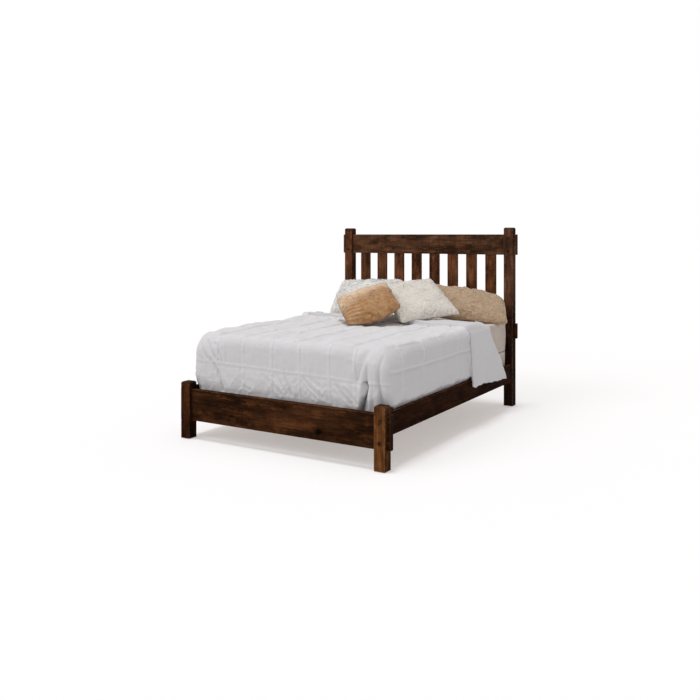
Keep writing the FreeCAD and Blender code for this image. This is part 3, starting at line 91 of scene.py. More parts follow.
def lattice(cells, seed):
    """A repeatable number from -1 to 1 for each whole-numbered cell."""
    x, y, z = (cells[:, i].astype(np.int64).astype(np.uint32) for i in range(3))
    mixed = x * np.uint32(374761393) + y * np.uint32(668265263) + z * np.uint32(2246822519)
    mixed = mixed + np.uint32((seed * 3266489917) % 4294967296)
    mixed = (mixed ^ (mixed >> np.uint32(13))) * np.uint32(1274126177)
    mixed = mixed ^ (mixed >> np.uint32(16))
    return mixed.astype(float) / 2147483647.5 - 1


def noise(points, seed):
    """Smooth noise from -1 to 1 at points measured in cells."""
    cells = np.floor(points)
    t = points - cells
    t = t * t * (3 - 2 * t)
    total = np.zeros(len(points))
    for corner in np.ndindex(2, 2, 2):
        offset = np.array(corner)
        share = np.prod(np.where(offset, t, 1 - t), axis=1)
        total += share * lattice(cells + offset, seed)
    return total


def layered(points, seed, octaves=3):
    """Noise in ever finer layers, each with half the strength of the one before."""
    total = np.zeros(len(points))
    size = 1.0
    for octave in range(octaves):
        total += size * noise(points * 2 ** octave, seed + 17 * octave)
        size /= 2
    return total


def noise_vectors(points, seed):
    """Three noises at each point, as its X, Y and Z."""
    return np.stack([noise(points, seed + k) for k in range(3)], 1)


def creased(points, seed):
    """Noise with sharp crests, from 0 in the hollows to 1 along the crests."""
    return (1 - np.abs(noise(points, seed))) ** 3


def smooth(low, high, value):
    """From 0 at low to 1 at high, level at both ends."""
    t = np.clip((value - low) / (high - low), 0, 1)
    return t * t * (3 - 2 * t)


def dip(distance, width):
    """A soft bump of height 1 at distance 0."""
    return np.exp(-((distance / width) ** 2))


def rounded(p, half_x, foot, top, across, upward, snap=0.0):
    """Points pulled inside a box whose shoulders and corners are parts of ellipsoids.

    With snap at 1 the points inside its skin are moved out to it as well.
    """
    x, y, z = p.T
    u = np.maximum(np.abs(x) - (half_x - across), 0) / across
    v = np.maximum(-y - (foot - across), 0) / across
    w = np.maximum(z - (top - upward), 0) / upward
    reach = np.maximum(np.sqrt(u * u + v * v + w * w), 0.5)
    pull = 1 / (np.maximum(reach, 1) * (1 - snap) + reach * snap)
    near_x = np.minimum(np.abs(x), half_x - across)
    near_y = np.minimum(-y, foot - across)
    near_z = np.minimum(z, top - upward)
    return np.stack([
        np.sign(x) * (near_x + u * across * pull),
        -(near_y + v * across * pull),
        near_z + w * upward * pull,
    ], 1)


def corner_share(p):
    """How near a point is to a foot corner of the comforter, from 0 to 1."""
    return smooth(0.42, 0.73, np.abs(p[:, 0])) * smooth(-0.68, -0.97, p[:, 1])


def under_comforter(p, gap, corner_gap=0.0, snap=0.0):
    """Points kept a gap inside the comforter's rounded outside."""
    corner = corner_share(p)
    across = 0.055 + 0.055 * corner
    upward = 0.075 + 0.090 * corner
    gap = gap + corner_gap * corner
    half_x, foot, top = (size - gap for size in (QUILT_SIDE, QUILT_FOOT, QUILT_TOP))
    return rounded(p, half_x, foot, top, across, upward, snap)


def box_distance(first, second):
    """Signed distance to a corner from the distances past its two faces."""
    outside = np.hypot(np.maximum(first, 0), np.maximum(second, 0))
    return outside + np.minimum(np.maximum(first, second), 0)


def past_lining(p):
    """Signed distance outwards from the comforter's lining."""
    x, y, z = p.T
    past_side = np.abs(x) - LINING_SIDE + LINING_CORNER
    past_foot = -y - LINING_FOOT + LINING_CORNER
    plan = box_distance(past_side, past_foot) - LINING_CORNER
    past_top = z - LINING_TOP + LINING_SHOULDER
    return box_distance(plan + LINING_SHOULDER, past_top) - LINING_SHOULDER


def room_inside(p, n):
    """How deep a point of the comforter's outside may go in before it meets the lining."""
    found = 0.007 + 0.010 * corner_share(p)
    for depth in np.arange(0.008, 0.032, 0.002):
        found = np.where(past_lining(p - n * depth) > 0, np.maximum(found, depth), found)
    return found


# Meshes


def points_of(mesh, what="co"):
    found = np.empty(len(mesh.vertices) * 3)
    mesh.vertices.foreach_get(what, found)
    return found.reshape(-1, 3)


def surface_of(mesh):
    """The mesh's points and its outward directions there."""
    return points_of(mesh), points_of(mesh, "normal")


def set_points(mesh, points):
    mesh.vertices.foreach_set("co", points.astype(np.float32).ravel())
    mesh.update()


def set_value(mesh, name, values):
    """Gives the mesh a number at each point for its material."""
    attribute = mesh.attributes.new(name, "FLOAT", "POINT")
    attribute.data.foreach_set("value", values.astype(np.float32))


def new_object(name, mesh, material=None):
    made = bpy.data.objects.new(name, mesh)
    bpy.context.scene.collection.objects.link(made)
    if material is not None:
        mesh.materials.append(material)
    return made


def from_lists(name, points, faces, material=None):
    mesh = bpy.data.meshes.new(name)
    mesh.from_pydata([tuple(p) for p in points], [], faces)
    mesh.update()
    mesh.shade_smooth()
    return new_object(name, mesh, material)


def settle(item):
    """Applies the modifiers of an object to its mesh."""
    bpy.context.view_layer.update()
    graph = bpy.context.evaluated_depsgraph_get()
    mesh = bpy.data.meshes.new_from_object(item.evaluated_get(graph))
    old = item.data
    item.modifiers.clear()
    item.data = mesh
    bpy.data.meshes.remove(old)
    return item


def remeshed(name, node, prepared, voxel, rounds):
    """A copy of a CAD node's surface, prepared, in even small faces, its creases softened."""
    item = new_object(name, NODES[node].data.copy())
    item.data.materials.clear()
    set_points(item.data, prepared(points_of(item.data)))
    even = item.modifiers.new("even", "REMESH")
    even.mode = "VOXEL"
    even.voxel_size = voxel
    soft = item.modifiers.new("soft", "SMOOTH")
    soft.factor = 0.5
    soft.iterations = rounds
    settle(item)
    item.data.shade_smooth()
    return item


# Materials


class Graph:
    """The nodes of a material or a world, added one at a time."""

    def __init__(self, owner):
        owner.use_nodes = True
        self.owner = owner
        self.nodes = owner.node_tree.nodes
        self.links = owner.node_tree.links
        self.nodes.clear()

    def feed(self, socket, value):
        if isinstance(value, bpy.types.NodeSocket):
            self.links.new(value, socket)
        elif isinstance(value, tuple) and socket.type == "RGBA":
            socket.default_value = (*value, 1)
        else:
            socket.default_value = value

    def add(self, kind, inputs=None, **settings):
        """A new node with its settings, its inputs fed by name or number."""
        node = self.nodes.new("ShaderNode" + kind)
        for name, value in settings.items():
            setattr(node, name, value)
        for name, value in (inputs or {}).items():
            self.feed(node.inputs[name], value)
        return node

    def place(self):
        """Coordinates in metres that stay with the piece."""
        return self.add("TexCoord").outputs["Object"]

    def carried(self, name, output="Fac"):
        """What the mesh carries at each point under a name."""
        return self.add("Attribute", attribute_name=name).outputs[output]

    def scaled(self, vector, scale, shift=(0, 0, 0)):
        inputs = {"Vector": vector, "Scale": scale, "Location": shift}
        return self.add("Mapping", inputs).outputs["Vector"]

    def stretched(self, vector, along, lengthwise, across, shift=(0, 0, 0)):
        """Coordinates scaled differently along one axis and across it."""
        scale = tuple(lengthwise if letter == along else across for letter in "xyz")
        return self.scaled(vector, scale, shift)

    def noise(self, vector, scale=1.0, detail=3.0, roughness=0.5, distortion=0.0):
        inputs = {"Vector": vector, "Scale": scale, "Detail": detail,
                  "Roughness": roughness, "Distortion": distortion}
        return self.add("TexNoise", inputs).outputs["Fac"]

    def rings(self, vector, scale, distortion, detail):
        """Slanting wavy bands, as a tree's growth rings show where it is cut."""
        inputs = {"Vector": vector, "Scale": scale, "Distortion": distortion, "Detail": detail}
        return self.add("TexWave", inputs, bands_direction="DIAGONAL").outputs["Fac"]

    def math(self, operation, first, second=0.0, clamp=False):
        node = self.add("Math", {0: first, 1: second}, operation=operation, use_clamp=clamp)
        return node.outputs[0]

    def plus(self, first, second):
        return self.math("ADD", first, second)

    def times(self, first, second):
        return self.math("MULTIPLY", first, second)

    def times_plus(self, first, second, third):
        """The sum of a product of two vectors and a third one."""
        inputs = {0: first, 1: second, 2: third}
        return self.add("VectorMath", inputs, operation="MULTIPLY_ADD").outputs["Vector"]

    def between(self, value, low, high, start=0.0, end=1.0):
        """Value from low to high as start to end, smoothly and no further."""
        inputs = {"Value": value, "From Min": low, "From Max": high, "To Min": start, "To Max": end}
        return self.add("MapRange", inputs, interpolation_type="SMOOTHSTEP").outputs["Result"]

    def split(self, vector):
        return list(self.add("SeparateXYZ", {"Vector": vector}).outputs)

    def mix(self, share, first, second, blend="MIX"):
        inputs = {"Factor": share, 6: first, 7: second}
        return self.add("Mix", inputs, data_type="RGBA", blend_type=blend).outputs[2]

    def dimmed(self, tone, factor):
        return self.mix(1.0, tone, factor, "MULTIPLY")

    def tinted(self, tone, colour, value, low, high, start=0.0, end=1.0):
        """A tone that turns to a colour by a share from start to end as a value rises."""
        return self.mix(self.between(value, low, high, start, end), tone, colour)

    def near(self, place, centre, reach, ragged=0.0):
        """From 1 at a centre to 0 at its reach along each axis, its edge ragged if asked."""
        if ragged:
            place = self.times_plus(self.noise(place, 50.0), (ragged,) * 3, place)
        scale = tuple(1 / r for r in reach)
        shift = tuple(-(c + ragged / 2) / r for c, r in zip(centre, reach))
        scaled = self.scaled(place, scale, shift)
        length = self.add("VectorMath", {0: scaled}, operation="LENGTH").outputs["Value"]
        return self.between(length, 0.0, 1.0, 1.0, 0.0)

    def finished(self, tone, height, distance, strength=1.0, roughness=None):
        """Gives the shader its colour, its bump and its roughness if that varies."""
        bump = self.add("Bump", {"Distance": distance, "Strength": strength, "Height": height})
        self.feed(self.shader.inputs["Base Color"], tone)
        self.feed(self.shader.inputs["Normal"], bump.outputs["Normal"])
        if roughness is not None:
            self.feed(self.shader.inputs["Roughness"], roughness)
        return self.owner


def painted(name, roughness, specular, **constants):
    """A new material's graph, its shader in place with what is the same all over."""
    graph = Graph(bpy.data.materials.new(name))
    inputs = {"Roughness": roughness, "Specular IOR Level": specular}
    for label, value in constants.items():
        inputs[label.replace("_", " ").title()] = value
    graph.shader = graph.add("BsdfPrincipled", inputs)
    graph.add("OutputMaterial", {"Surface": graph.shader.outputs["BSDF"]})
    return graph


def edge_share(graph, place, node, width):
    """How near a point is to the long edges of a node's box, from 0 to 1."""
    low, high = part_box(node)
    near = []
    for letter, start, end in zip(graph.split(place), low, high):
        half = (end - start) / 2
        off = graph.math("ABSOLUTE", graph.math("SUBTRACT", letter, (start + end) / 2))
        near.append(graph.between(off, half - width, half))
    total = graph.plus(graph.plus(near[0], near[1]), near[2])
    return graph.math("SUBTRACT", total, 1.0, clamp=True)


def multiplied(tone, *factors):
    """A colour with its red, green and blue multiplied, all alike by a single factor."""
    return tuple(c * factors[i % len(factors)] for i, c in enumerate(tone))


# Cut ends: the tones of their rings, and for pieces along each axis how light the ends are
# and how far these tones cover the stain
END_TONES = ((0.022, 0.0145, 0.0125), (0.044, 0.029, 0.0245))
END_LEVELS = {"x": (0.40, 0.7), "y": (1.0, 0.35), "z": (0.9, 1.0)}
KNOT_EYE = (0.004, 0.002, 0.0012)


def wood(node, along, tones, seed, worn=0.3, knots=(), patches=(), shade=None, saw=0.08):
    """Stained rustic wood whose grain runs along one axis of a node."""
    dark, mid, light = tones
    graph = painted(f"stained_wood_{node}", 0.8, 0.02)
    place = graph.place()
    shift = (seed * 3.17, seed * 1.71, seed * 2.43)

    def grain(lengthwise, across, detail, roughness, distortion=0.0, where=place):
        """Noise drawn out along the grain."""
        vector = graph.stretched(where, along, lengthwise, across, shift)
        return graph.noise(vector, 1.0, detail, roughness, distortion)

    # The grain bends round each knot
    bent = place
    for centre, size in knots:
        away = graph.scaled(place, (0.9, 0.9, 0.9), multiplied(centre, -0.9))
        about = graph.near(place, centre, multiplied((6, 6, 3.4), size))
        bent = graph.times_plus(away, about, bent)
    rings = graph.rings(graph.stretched(bent, along, 0.32, 11.0, shift), 1.5, 4.5, 3.0)
    broad = grain(2.6, 9.0, 4.0, 0.6, 0.3, bent)
    stain = grain(9.0, 26.0, 6.0, 0.78)
    streaks = grain(3.0, 60.0, 4.0, 0.65)
    fibres = grain(6.0, 230.0, 4.0, 0.65)
    sawn = grain(120.0, 4.0, 2.0, 0.5)
    tone = graph.mix(graph.between(broad, 0.36, 0.62), dark, mid)
    tone = graph.tinted(tone, dark, rings, 0.35, 1.0, 0.0, 0.30)
    tone = graph.tinted(tone, light, stain, 0.47, 0.68, 0.0, 0.68)
    tone = graph.tinted(tone, dark, stain, 0.30, 0.46, 0.45, 0.0)
    tone = graph.tinted(tone, dark, streaks, 0.34, 0.60, 0.45, 0.0)
    for centre, reach, strength in patches:
        share = graph.times(graph.near(place, centre, reach, 0.03), abs(strength))
        broken = graph.between(streaks, 0.38, 0.58, 0.3, 1.3)
        share = graph.math("MULTIPLY", share, broken, clamp=True)
        tone = graph.mix(share, tone, light if strength > 0 else multiplied(dark, 0.5))
    tone = graph.dimmed(tone, graph.between(fibres, 0.36, 0.58, 0.62, 1.04))
    tone = graph.dimmed(tone, graph.between(sawn, 0.35, 0.65, 1 - saw, 1 + saw / 2))
    # Painted shade: the piece darker towards the bottom, as the head posts below the bedding and
    # the left foot post below the footboard rail
    if shade is not None:
        letter, start, end, least = shade
        part = graph.split(place)["xyz".index(letter)]
        tone = graph.dimmed(tone, graph.between(part, start, end, least, 1.0))
    for centre, size in knots:
        halo = graph.near(place, centre, multiplied((2.6, 2.6, 2.0), size), 0.03)
        tone = graph.mix(graph.times(halo, 0.85), tone, multiplied(dark, 0.5))
        eye = graph.near(place, centre, (size, size, size), 0.02)
        tone = graph.tinted(tone, KNOT_EYE, eye, 0.1, 0.5)
    # Painted shade: faces towards the sides are painted darker than those towards the ends
    facing = graph.split(graph.add("TexCoord").outputs["Normal"])
    if along != "x":
        painted_side_shade = graph.math("ABSOLUTE", facing[0])
        tone = graph.dimmed(tone, graph.between(painted_side_shade, 0.5, 0.9, 1.0, 0.5))
    # Rubbed edges show paler wood
    rubbed = graph.between(graph.noise(place, 45.0, 3.0, 0.6), 0.42, 0.62, 0.1, worn * 2)
    edge = graph.times(edge_share(graph, place, node, 0.006), rubbed)
    tone = graph.mix(edge, tone, tuple(min(1.0, c * 1.5 + 0.035) for c in mid))
    end = graph.math("ABSOLUTE", facing["xyz".index(along)])
    end_rings = graph.rings(graph.stretched(place, along, 26.0, 26.0, shift), 1.2, 6.0, 2.0)
    level, covering = END_LEVELS[along]
    end_tone = graph.mix(end_rings, *(multiplied(ring, level) for ring in END_TONES))
    tone = graph.tinted(tone, end_tone, end, 0.6, 0.9, 0.0, covering)
    relief = graph.plus(graph.times(fibres, 0.6), graph.times(sawn, 0.5))
    relief = graph.plus(relief, graph.times(streaks, 0.5))
    return graph.finished(tone, relief, 0.0014, 0.8, graph.between(fibres, 0.3, 0.7, 0.85, 0.68))


def soft_wood(name, along):
    """Plain unstained softwood for what the bedding hides."""
    graph = painted(name, 0.65, 0.2)
    place = graph.place()
    rings = graph.rings(graph.stretched(place, along, 0.9, 9.0), 1.8, 5.0, 3.0)
    fibres = graph.noise(graph.stretched(place, along, 6.0, 180.0), 1.0, 3.0, 0.6)
    tone = graph.mix(rings, (0.62, 0.42, 0.23), (0.45, 0.26, 0.12))
    tone = graph.tinted(tone, (0.36, 0.22, 0.11), fibres, 0.35, 0.65, 0.35, 0.0)
    return graph.finished(tone, fibres, 0.0006)


def steel(name):
    graph = painted(name, 0.35, 0.5, metallic=1.0)
    place = graph.place()
    bloom = graph.noise(place, 60.0, 4.0, 0.6)
    fine = graph.noise(place, 900.0, 2.0)
    tone = graph.mix(bloom, (0.50, 0.51, 0.52), (0.68, 0.69, 0.70))
    return graph.finished(tone, fine, 0.0001, roughness=graph.between(bloom, 0.3, 0.7, 0.28, 0.5))


def nylon(name):
    graph = painted(name, 0.45, 0.4)
    scuffs = graph.noise(graph.scaled(graph.place(), (120, 30, 400)), 1.0, 4.0, 0.6)
    tone = graph.tinted((0.030, 0.028, 0.027), (0.075, 0.07, 0.066), scuffs, 0.4, 0.7)
    worn = graph.between(scuffs, 0.3, 0.7, 0.4, 0.62)
    return graph.finished(tone, scuffs, 0.0002, roughness=worn)


def woven(graph, place, pitch):
    """The height of a plain weave with a pitch in metres, from -1 to 1."""
    x, y, z = graph.split(place)
    turns = 2 * math.pi / pitch
    first, second = (
        graph.math("SINE", graph.times(graph.plus(across, z), turns)) for across in (x, y)
    )
    return graph.times(first, second)


def cloth(name, colour, shade, pitch, mottle, depth, sheen=0.15, spots=0.0, local=False):
    """Woven cloth of a slightly uneven colour, with a thread pitch and depth in metres."""
    graph = painted(name, 0.85, 0.15, sheen_weight=sheen)
    place = graph.carried("local", "Vector") if local else graph.place()
    tone = graph.tinted(colour, shade, graph.noise(place, mottle, 3.0, 0.55), 0.3, 0.7)
    if spots:
        specks = graph.noise(place, 150.0, 3.0, 0.7)
        clumps = graph.noise(place, 60.0, 3.0, 0.6)
        pale = tuple(min(1.0, c * 1.4) for c in colour)
        tone = graph.tinted(tone, multiplied(shade, 0.40), specks, 0.52, 0.64, 0.0, spots)
        tone = graph.tinted(tone, pale, clumps, 0.53, 0.68, 0.0, spots * 0.5)
    slubs = graph.noise(graph.scaled(place, (700, 90, 90)), 1.0, 2.0)
    return graph.finished(tone, graph.plus(woven(graph, place, pitch), slubs), depth, 0.6)


def quilt_cloth():
    """Smooth soft-napped cloth, with painted highlights on its seams and flap and painted shade in
    its folds and opening, drawn from what the mesh carries.
    """
    graph = painted("quilted_cloth", 0.9, 0.1, sheen_weight=0.08)
    place = graph.place()
    uneven = graph.noise(place, 7.0, 3.0, 0.5)
    # Painted highlights along the seams' ridges and on the flap
    painted_highlight = graph.times(graph.carried("painted_highlight"), 0.6)
    tone = graph.mix(uneven, (0.705, 0.70, 0.712), (0.745, 0.738, 0.75))
    tone = graph.mix(painted_highlight, tone, (0.83, 0.82, 0.835))
    # Painted shade in the folds, the seams' grooves and the wrinkles' troughs
    tone = graph.tinted(tone, (0.34, 0.325, 0.35), graph.carried("painted_shade"), 0.0, 1.0, 0.0, 0.7)
    # Painted shade: the gathered corner's opening painted near black
    tone = graph.mix(graph.carried("gap"), tone, (0.085, 0.083, 0.09))
    crumple = graph.noise(place, 85.0, 4.0, 0.6, 0.5)
    threads = graph.times(woven(graph, place, 0.0012), 0.06)
    return graph.finished(tone, graph.plus(crumple, threads), 0.0016, 0.5)


def pile(name, deep, tip, pale):
    """Fur or nap, lighter towards the ends of its hairs and painted pale where a painted sheen is
    carried.
    """
    graph = painted(name, 0.95, 0.08, sheen_weight=0.2)
    place = graph.place()
    locks = graph.noise(place, 45.0, 4.0, 0.6)
    hairs = graph.noise(place, 300.0, 3.0, 0.6)
    tone = graph.tinted(deep, tip, locks, 0.3, 0.68)
    tone = graph.tinted(tone, multiplied(deep, 0.78), hairs, 0.4, 0.65, 0.0, 0.35)
    # Painted sheen: paler where the mesh carries it
    tone = graph.mix(graph.carried("painted_sheen"), tone, pale)
    return graph.finished(tone, graph.plus(locks, graph.times(hairs, 0.4)), 0.004, 0.5)


# Frame: stained wood on the posts, rails, slats and pegs

PLAIN = ((0.020, 0.0074, 0.0030), (0.075, 0.0275, 0.0107), (0.160, 0.058, 0.020))
POST_TONES, LEFT_TONES, HEAD_TONES, SLAT_TONES, TALL_TONES, SIDE_TONES, PEG_TONES = (
    tuple(multiplied(tone, *factors) for tone in PLAIN)
    for factors in (
        (2.65, 2.75, 2.3), (1.0, 0.9, 0.8), (1.95, 2.40, 3.2), (2.5, 2.6, 3.0),
        (2.6, 3.1, 4.7), (0.85, 0.72, 0.60), (1.4, 1.3, 1.2),
    )
)


def on_rail(y, *spots):
    """Patches on a rail from rows of X, Z, reach across, reach up, and strength."""
    return tuple(((x, y, z), (across, 0.1, up), strength) for x, z, across, up, strength in spots)


WOOD = {
    "footboard_rail": {
        "along": "x", "tones": PLAIN, "seed": 2, "knots": (((0.322, -1.081, 0.178), 0.030),),
        "patches": on_rail(
            -1.081,
            (0.31, 0.29, 0.06, 0.05, 0.8), (0.12, 0.20, 0.20, 0.045, 0.55),
            (-0.30, 0.22, 0.24, 0.03, 0.35), (0.52, 0.22, 0.22, 0.12, -0.35),
            (-0.70, 0.25, 0.16, 0.08, -0.35),
        ),
    },
    "headboard_top_rail": {
        "along": "x", "tones": HEAD_TONES, "seed": 5, "saw": 0.16,
        "knots": (((-0.31, 1.046, 1.28), 0.010),),
        "patches": on_rail(
            1.046,
            (0.34, 1.34, 0.09, 0.10, 0.45), (-0.60, 1.30, 0.20, 0.05, 0.3),
            (0.58, 1.30, 0.22, 0.07, -0.4), (-0.12, 1.34, 0.16, 0.06, -0.4),
        ),
    },
    "headboard_lower_rail": {"along": "x", "tones": SIDE_TONES, "seed": 7},
    "side_rail_left": {"along": "y", "tones": SIDE_TONES, "seed": 9, "worn": 0.5},
    "side_rail_right": {"along": "y", "tones": SIDE_TONES, "seed": 11, "worn": 0.5},
    # The shade entries are painted shade, darker towards the bottom: the left foot post below the
    # footboard rail, the head posts below the bedding
    "foot_post_left": {"along": "z", "tones": LEFT_TONES, "seed": 13, "worn": 0.5,
                       "shade": ("z", 0.09, 0.16, 0.55)},
    "foot_post_right": {"along": "z", "tones": POST_TONES, "seed": 15, "worn": 0.5},
    "head_post_left": {"along": "z", "tones": SLAT_TONES, "seed": 17,
                       "shade": ("z", 0.70, 0.95, 0.4)},
    "head_post_right": {"along": "z", "tones": TALL_TONES, "seed": 19,
                        "shade": ("z", 0.70, 0.98, 0.22)},
}
for index in range(8):
    spot = (-0.6036 + 0.1724 * index, 1.05, 0.90 + 0.08 * ((index * 3) % 4))
    WOOD[f"headboard_slat_{index + 1}"] = {
        "along": "z", "tones": SLAT_TONES, "seed": 21 + 2 * index,
        "patches": ((spot, (0.05, 0.2, 0.10), 0.5),),
    }

# The pegs, and a dark ring on the posts round each
PEG_RADIUS = 0.0095
PEG_RING = (0.021, 9.0, 0.021)
for index, end in enumerate(("head", "foot")):
    pegs = f"{end}board_pegs"
    WOOD[pegs] = {"along": "y", "tones": PEG_TONES, "seed": 41 + index, "worn": 0.0}
    low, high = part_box(pegs)
    rows = (low.z + PEG_RADIUS, high.z - PEG_RADIUS)
    for side, across in (("left", low.x + PEG_RADIUS), ("right", high.x - PEG_RADIUS)):
        rings = tuple(((across, 0.0, row), PEG_RING, -1.0) for row in rows)
        WOOD[f"{end}_post_{side}"]["patches"] = rings


def dress(node, material):
    """Gives every slot of a CAD node one better material."""
    slots = NODES[node].material_slots
    for place in slots:
        place.material = material
    if not slots:
        NODES[node].data.materials.append(material)


for node, look in WOOD.items():
    dress(node, wood(node, **look))

# The hidden nodes' materials by the starts and ends of their names
PLAIN_LOOKS = (
    (("bed_slat",), (), soft_wood("softwood_across", "x")),
    (("ledger_l", "ledger_r", "centre_beam"), (), soft_wood("softwood_along", "y")),
    (("centre_leg", "foundation_frame"), (), soft_wood("softwood_upright", "z")),
    (("levelling_stem",), ("plates", "screws", "bolts", "inserts"), steel("zinc_plate")),
    (("levelling_pad", "post_glides"), (), nylon("dark_nylon")),
)
for node in NODES:
    for starts, ends, material in PLAIN_LOOKS:
        if node.startswith(starts) or node.endswith(ends):
            dress(node, material)
            break


# Comforter

# Folds in the hanging foot end, in millimetres: places (X, Z) from top to bottom, the depths
# there and the width
FOOT_FOLDS = (
    (((632, 690), (612, 630), (566, 515)), 6, 12, 20),
    (((640, 600), (636, 540), (628, 420), (606, 330)), 10, 22, 18),
    (((735, 680), (722, 600), (719, 530), (733, 440), (747, 340)), 3, 22, 13),
    (((690, 600), (684, 520), (690, 420), (680, 340)), 3, 9, 12),
    (((-640, 670), (-590, 600), (-540, 553)), 5, 8, 10),
    (((-700, 650), (-660, 590), (-600, 545)), 4, 8, 11),
    (((-560, 660), (-530, 600), (-500, 545)), 3, 7, 9),
    (((-470, 660), (-462, 600), (-455, 545)), 2, 5, 8),
    (((-600, 555), (-565, 520), (-520, 450), (-496, 350)), 6, 13, 10),
    (((-400, 440), (-330, 400), (-260, 370)), 2, 5, 8),
    (((-155, 482), (-90, 440), (-8, 375)), 3, 9, 11),
    (((20, 520), (40, 460), (80, 375)), 4, 11, 10),
    (((-40, 500), (-10, 450), (40, 380)), 2, 7, 9),
    (((173, 493), (230, 440), (318, 385)), 5, 10, 10),
    (((166, 460), (210, 420), (270, 370)), 3, 7, 9),
    (((196, 514), (250, 480), (300, 450)), 4, 6, 9),
    (((414, 471), (460, 430), (524, 370)), 6, 12, 10),
    (((400, 500), (430, 470), (500, 440)), 3, 6, 9),
    (((480, 460), (520, 420), (570, 370)), 4, 9, 9),
)
# Where the gathered corner opens, in millimetres; its dark inside is painted shade
CORNER_GAP = ((600, 502), (636, 507), (649, 475), (640, 435), (624, 400), (604, 332))


def line_distance(x, z, line):
    """Distance to a line whose points are in millimetres, and how far along it, 0 to 1."""
    best = np.full(len(x), 9.0)
    along = np.zeros(len(x))
    steps = len(line) - 1
    line = [(u / 1000, v / 1000) for u, v in line]
    for step, ((x0, z0), (x1, z1)) in enumerate(zip(line, line[1:])):
        dx, dz = x1 - x0, z1 - z0
        t = np.clip(((x - x0) * dx + (z - z0) * dz) / (dx * dx + dz * dz), 0, 1)
        off = np.hypot(x - x0 - t * dx, z - z0 - t * dz)
        nearer = off < best
        best = np.where(nearer, off, best)
        along = np.where(nearer, (step + t) / steps, along)
    return best, along


def offset_from(values, marks):
    """Signed distance to the nearest of several marks."""
    offsets = np.stack([values - mark for mark in marks])
    pick = np.abs(offsets).argmin(0)
    return offsets[pick, np.arange(len(values))]


def hem_distance(p):
    """How far a point of the flap lies behind its hem."""
    return p[:, 1] - (HEM_MIDDLE - 0.1107 * p[:, 0] + 0.1024 * (FLAP_TOP - p[:, 2]))


def slanted(p, *rows):
    """Points in cells of noise that run along other directions than the axes."""
    return np.stack([p @ np.array(row) for row in rows], 1)


def warped(p, sway, seed, *rows):
    """Slanted points whose lines wander."""
    return slanted(p, *rows) + sway * noise_vectors(p * 4, seed)


def filled_out(p):
    """The comforter's points, its foot corners moved out to the skin where it is thin."""
    snap = smooth(0.36, 0.44, p[:, 2]) * smooth(0.65, 0.60, p[:, 2]) * (past_lining(p) > 0.003)
    snap *= smooth(-0.80, -0.88, p[:, 1]) * smooth(0.60, 0.66, np.abs(p[:, 0]))
    return np.where((snap > 0)[:, None], under_comforter(p, 0.0, 0.0, snap), p)


def shouldered(p, out, outer, on_flap):
    """The shoulders and corners rounded, those of the flap in a larger curve."""
    snap = outer * smooth(0.36, 0.44, p[:, 2]) * (p[:, 1] < 0.55)
    skin, lining = under_comforter(p, 0.0, 0.0, snap), under_comforter(p, 0.007, 0.010)
    body = np.where(out[:, None], skin, lining)
    flap_skin, flap_lining = (
        rounded(p, FLAP_SIDE - gap, 9.0, FLAP_TOP - gap, *FLAP_ROUNDING)
        for gap in (0.0, FLAP_THICKNESS)
    )
    p = np.where(on_flap[:, None], np.where(out[:, None], flap_skin, flap_lining), body)
    lowered = smooth(0.40, 0.55, p[:, 1]) * smooth(0.70, FLAP_ABOVE, p[:, 2])
    p[:, 2] -= FOLD_LOWER * on_flap * lowered
    return p


def seam_distances(p, foot, flank, on_flap):
    """Signed distances to the lengthwise, crosswise and hanging rows of seams."""
    x, y, z = p.T
    wander = 0.004 * noise(p * 5, 3)
    lengthwise = offset_from(x + wander + 0.075 * np.maximum(y + 1.0, 0), FOOT_SEAM_X)
    crosswise = offset_from(y + wander, SIDE_SEAM_Y)
    rows = np.where(flank > 0.3, ROW_SIDE - z + wander, FAR)
    rows = np.where(foot > 0.3, (ROW_FOOT - 0.024 * (x + 0.65)) - z + wander, rows)
    lengthwise = np.where(np.abs(x) < 0.62, lengthwise, FAR)
    crosswise = np.where((y > -0.93) & ~on_flap, crosswise, FAR)
    rows = np.where((z < 0.66) & ~on_flap, rows, FAR)
    return lengthwise, crosswise, rows


def puckers(p, lengthwise, crosswise, rows, top):
    """Small folds that run away from each seam."""
    along_x = layered(p * (14, 46, 46), 21, 2)
    along_y = layered(p * (46, 14, 46), 22, 2)
    along_z = layered(p * (46, 46, 12), 23, 2)
    beside = np.abs(lengthwise) < np.abs(crosswise)
    across_row = np.abs(rows) < np.minimum(np.abs(lengthwise), np.abs(crosswise))
    hanging = np.where(across_row, along_z, along_x)
    return np.where(top > 0.5, np.where(beside, along_x, along_y), hanging)


def foot_folds(x, z, foot):
    """How far the foot end's folds move the cloth, and the shade painted in them."""
    shift = np.zeros(len(x))
    painted_shade = np.zeros(len(x))
    for line, *sizes in FOOT_FOLDS:
        shallow, deep, width = (size / 1000 for size in sizes)
        off, along = line_distance(x, z, line)
        depth = shallow + (deep - shallow) * along
        share = foot * smooth(0.0, 0.15, along + 0.12)
        bank = dip(off - 2.1 * width, width) * share * (np.abs(x) < 0.70)
        shift += 0.35 * depth * bank - depth * dip(off, width * (0.7 + 0.6 * along)) * share
        painted_shade = np.maximum(painted_shade, dip(off, width * 0.6) * share * depth / 0.026)
    return shift, painted_shade


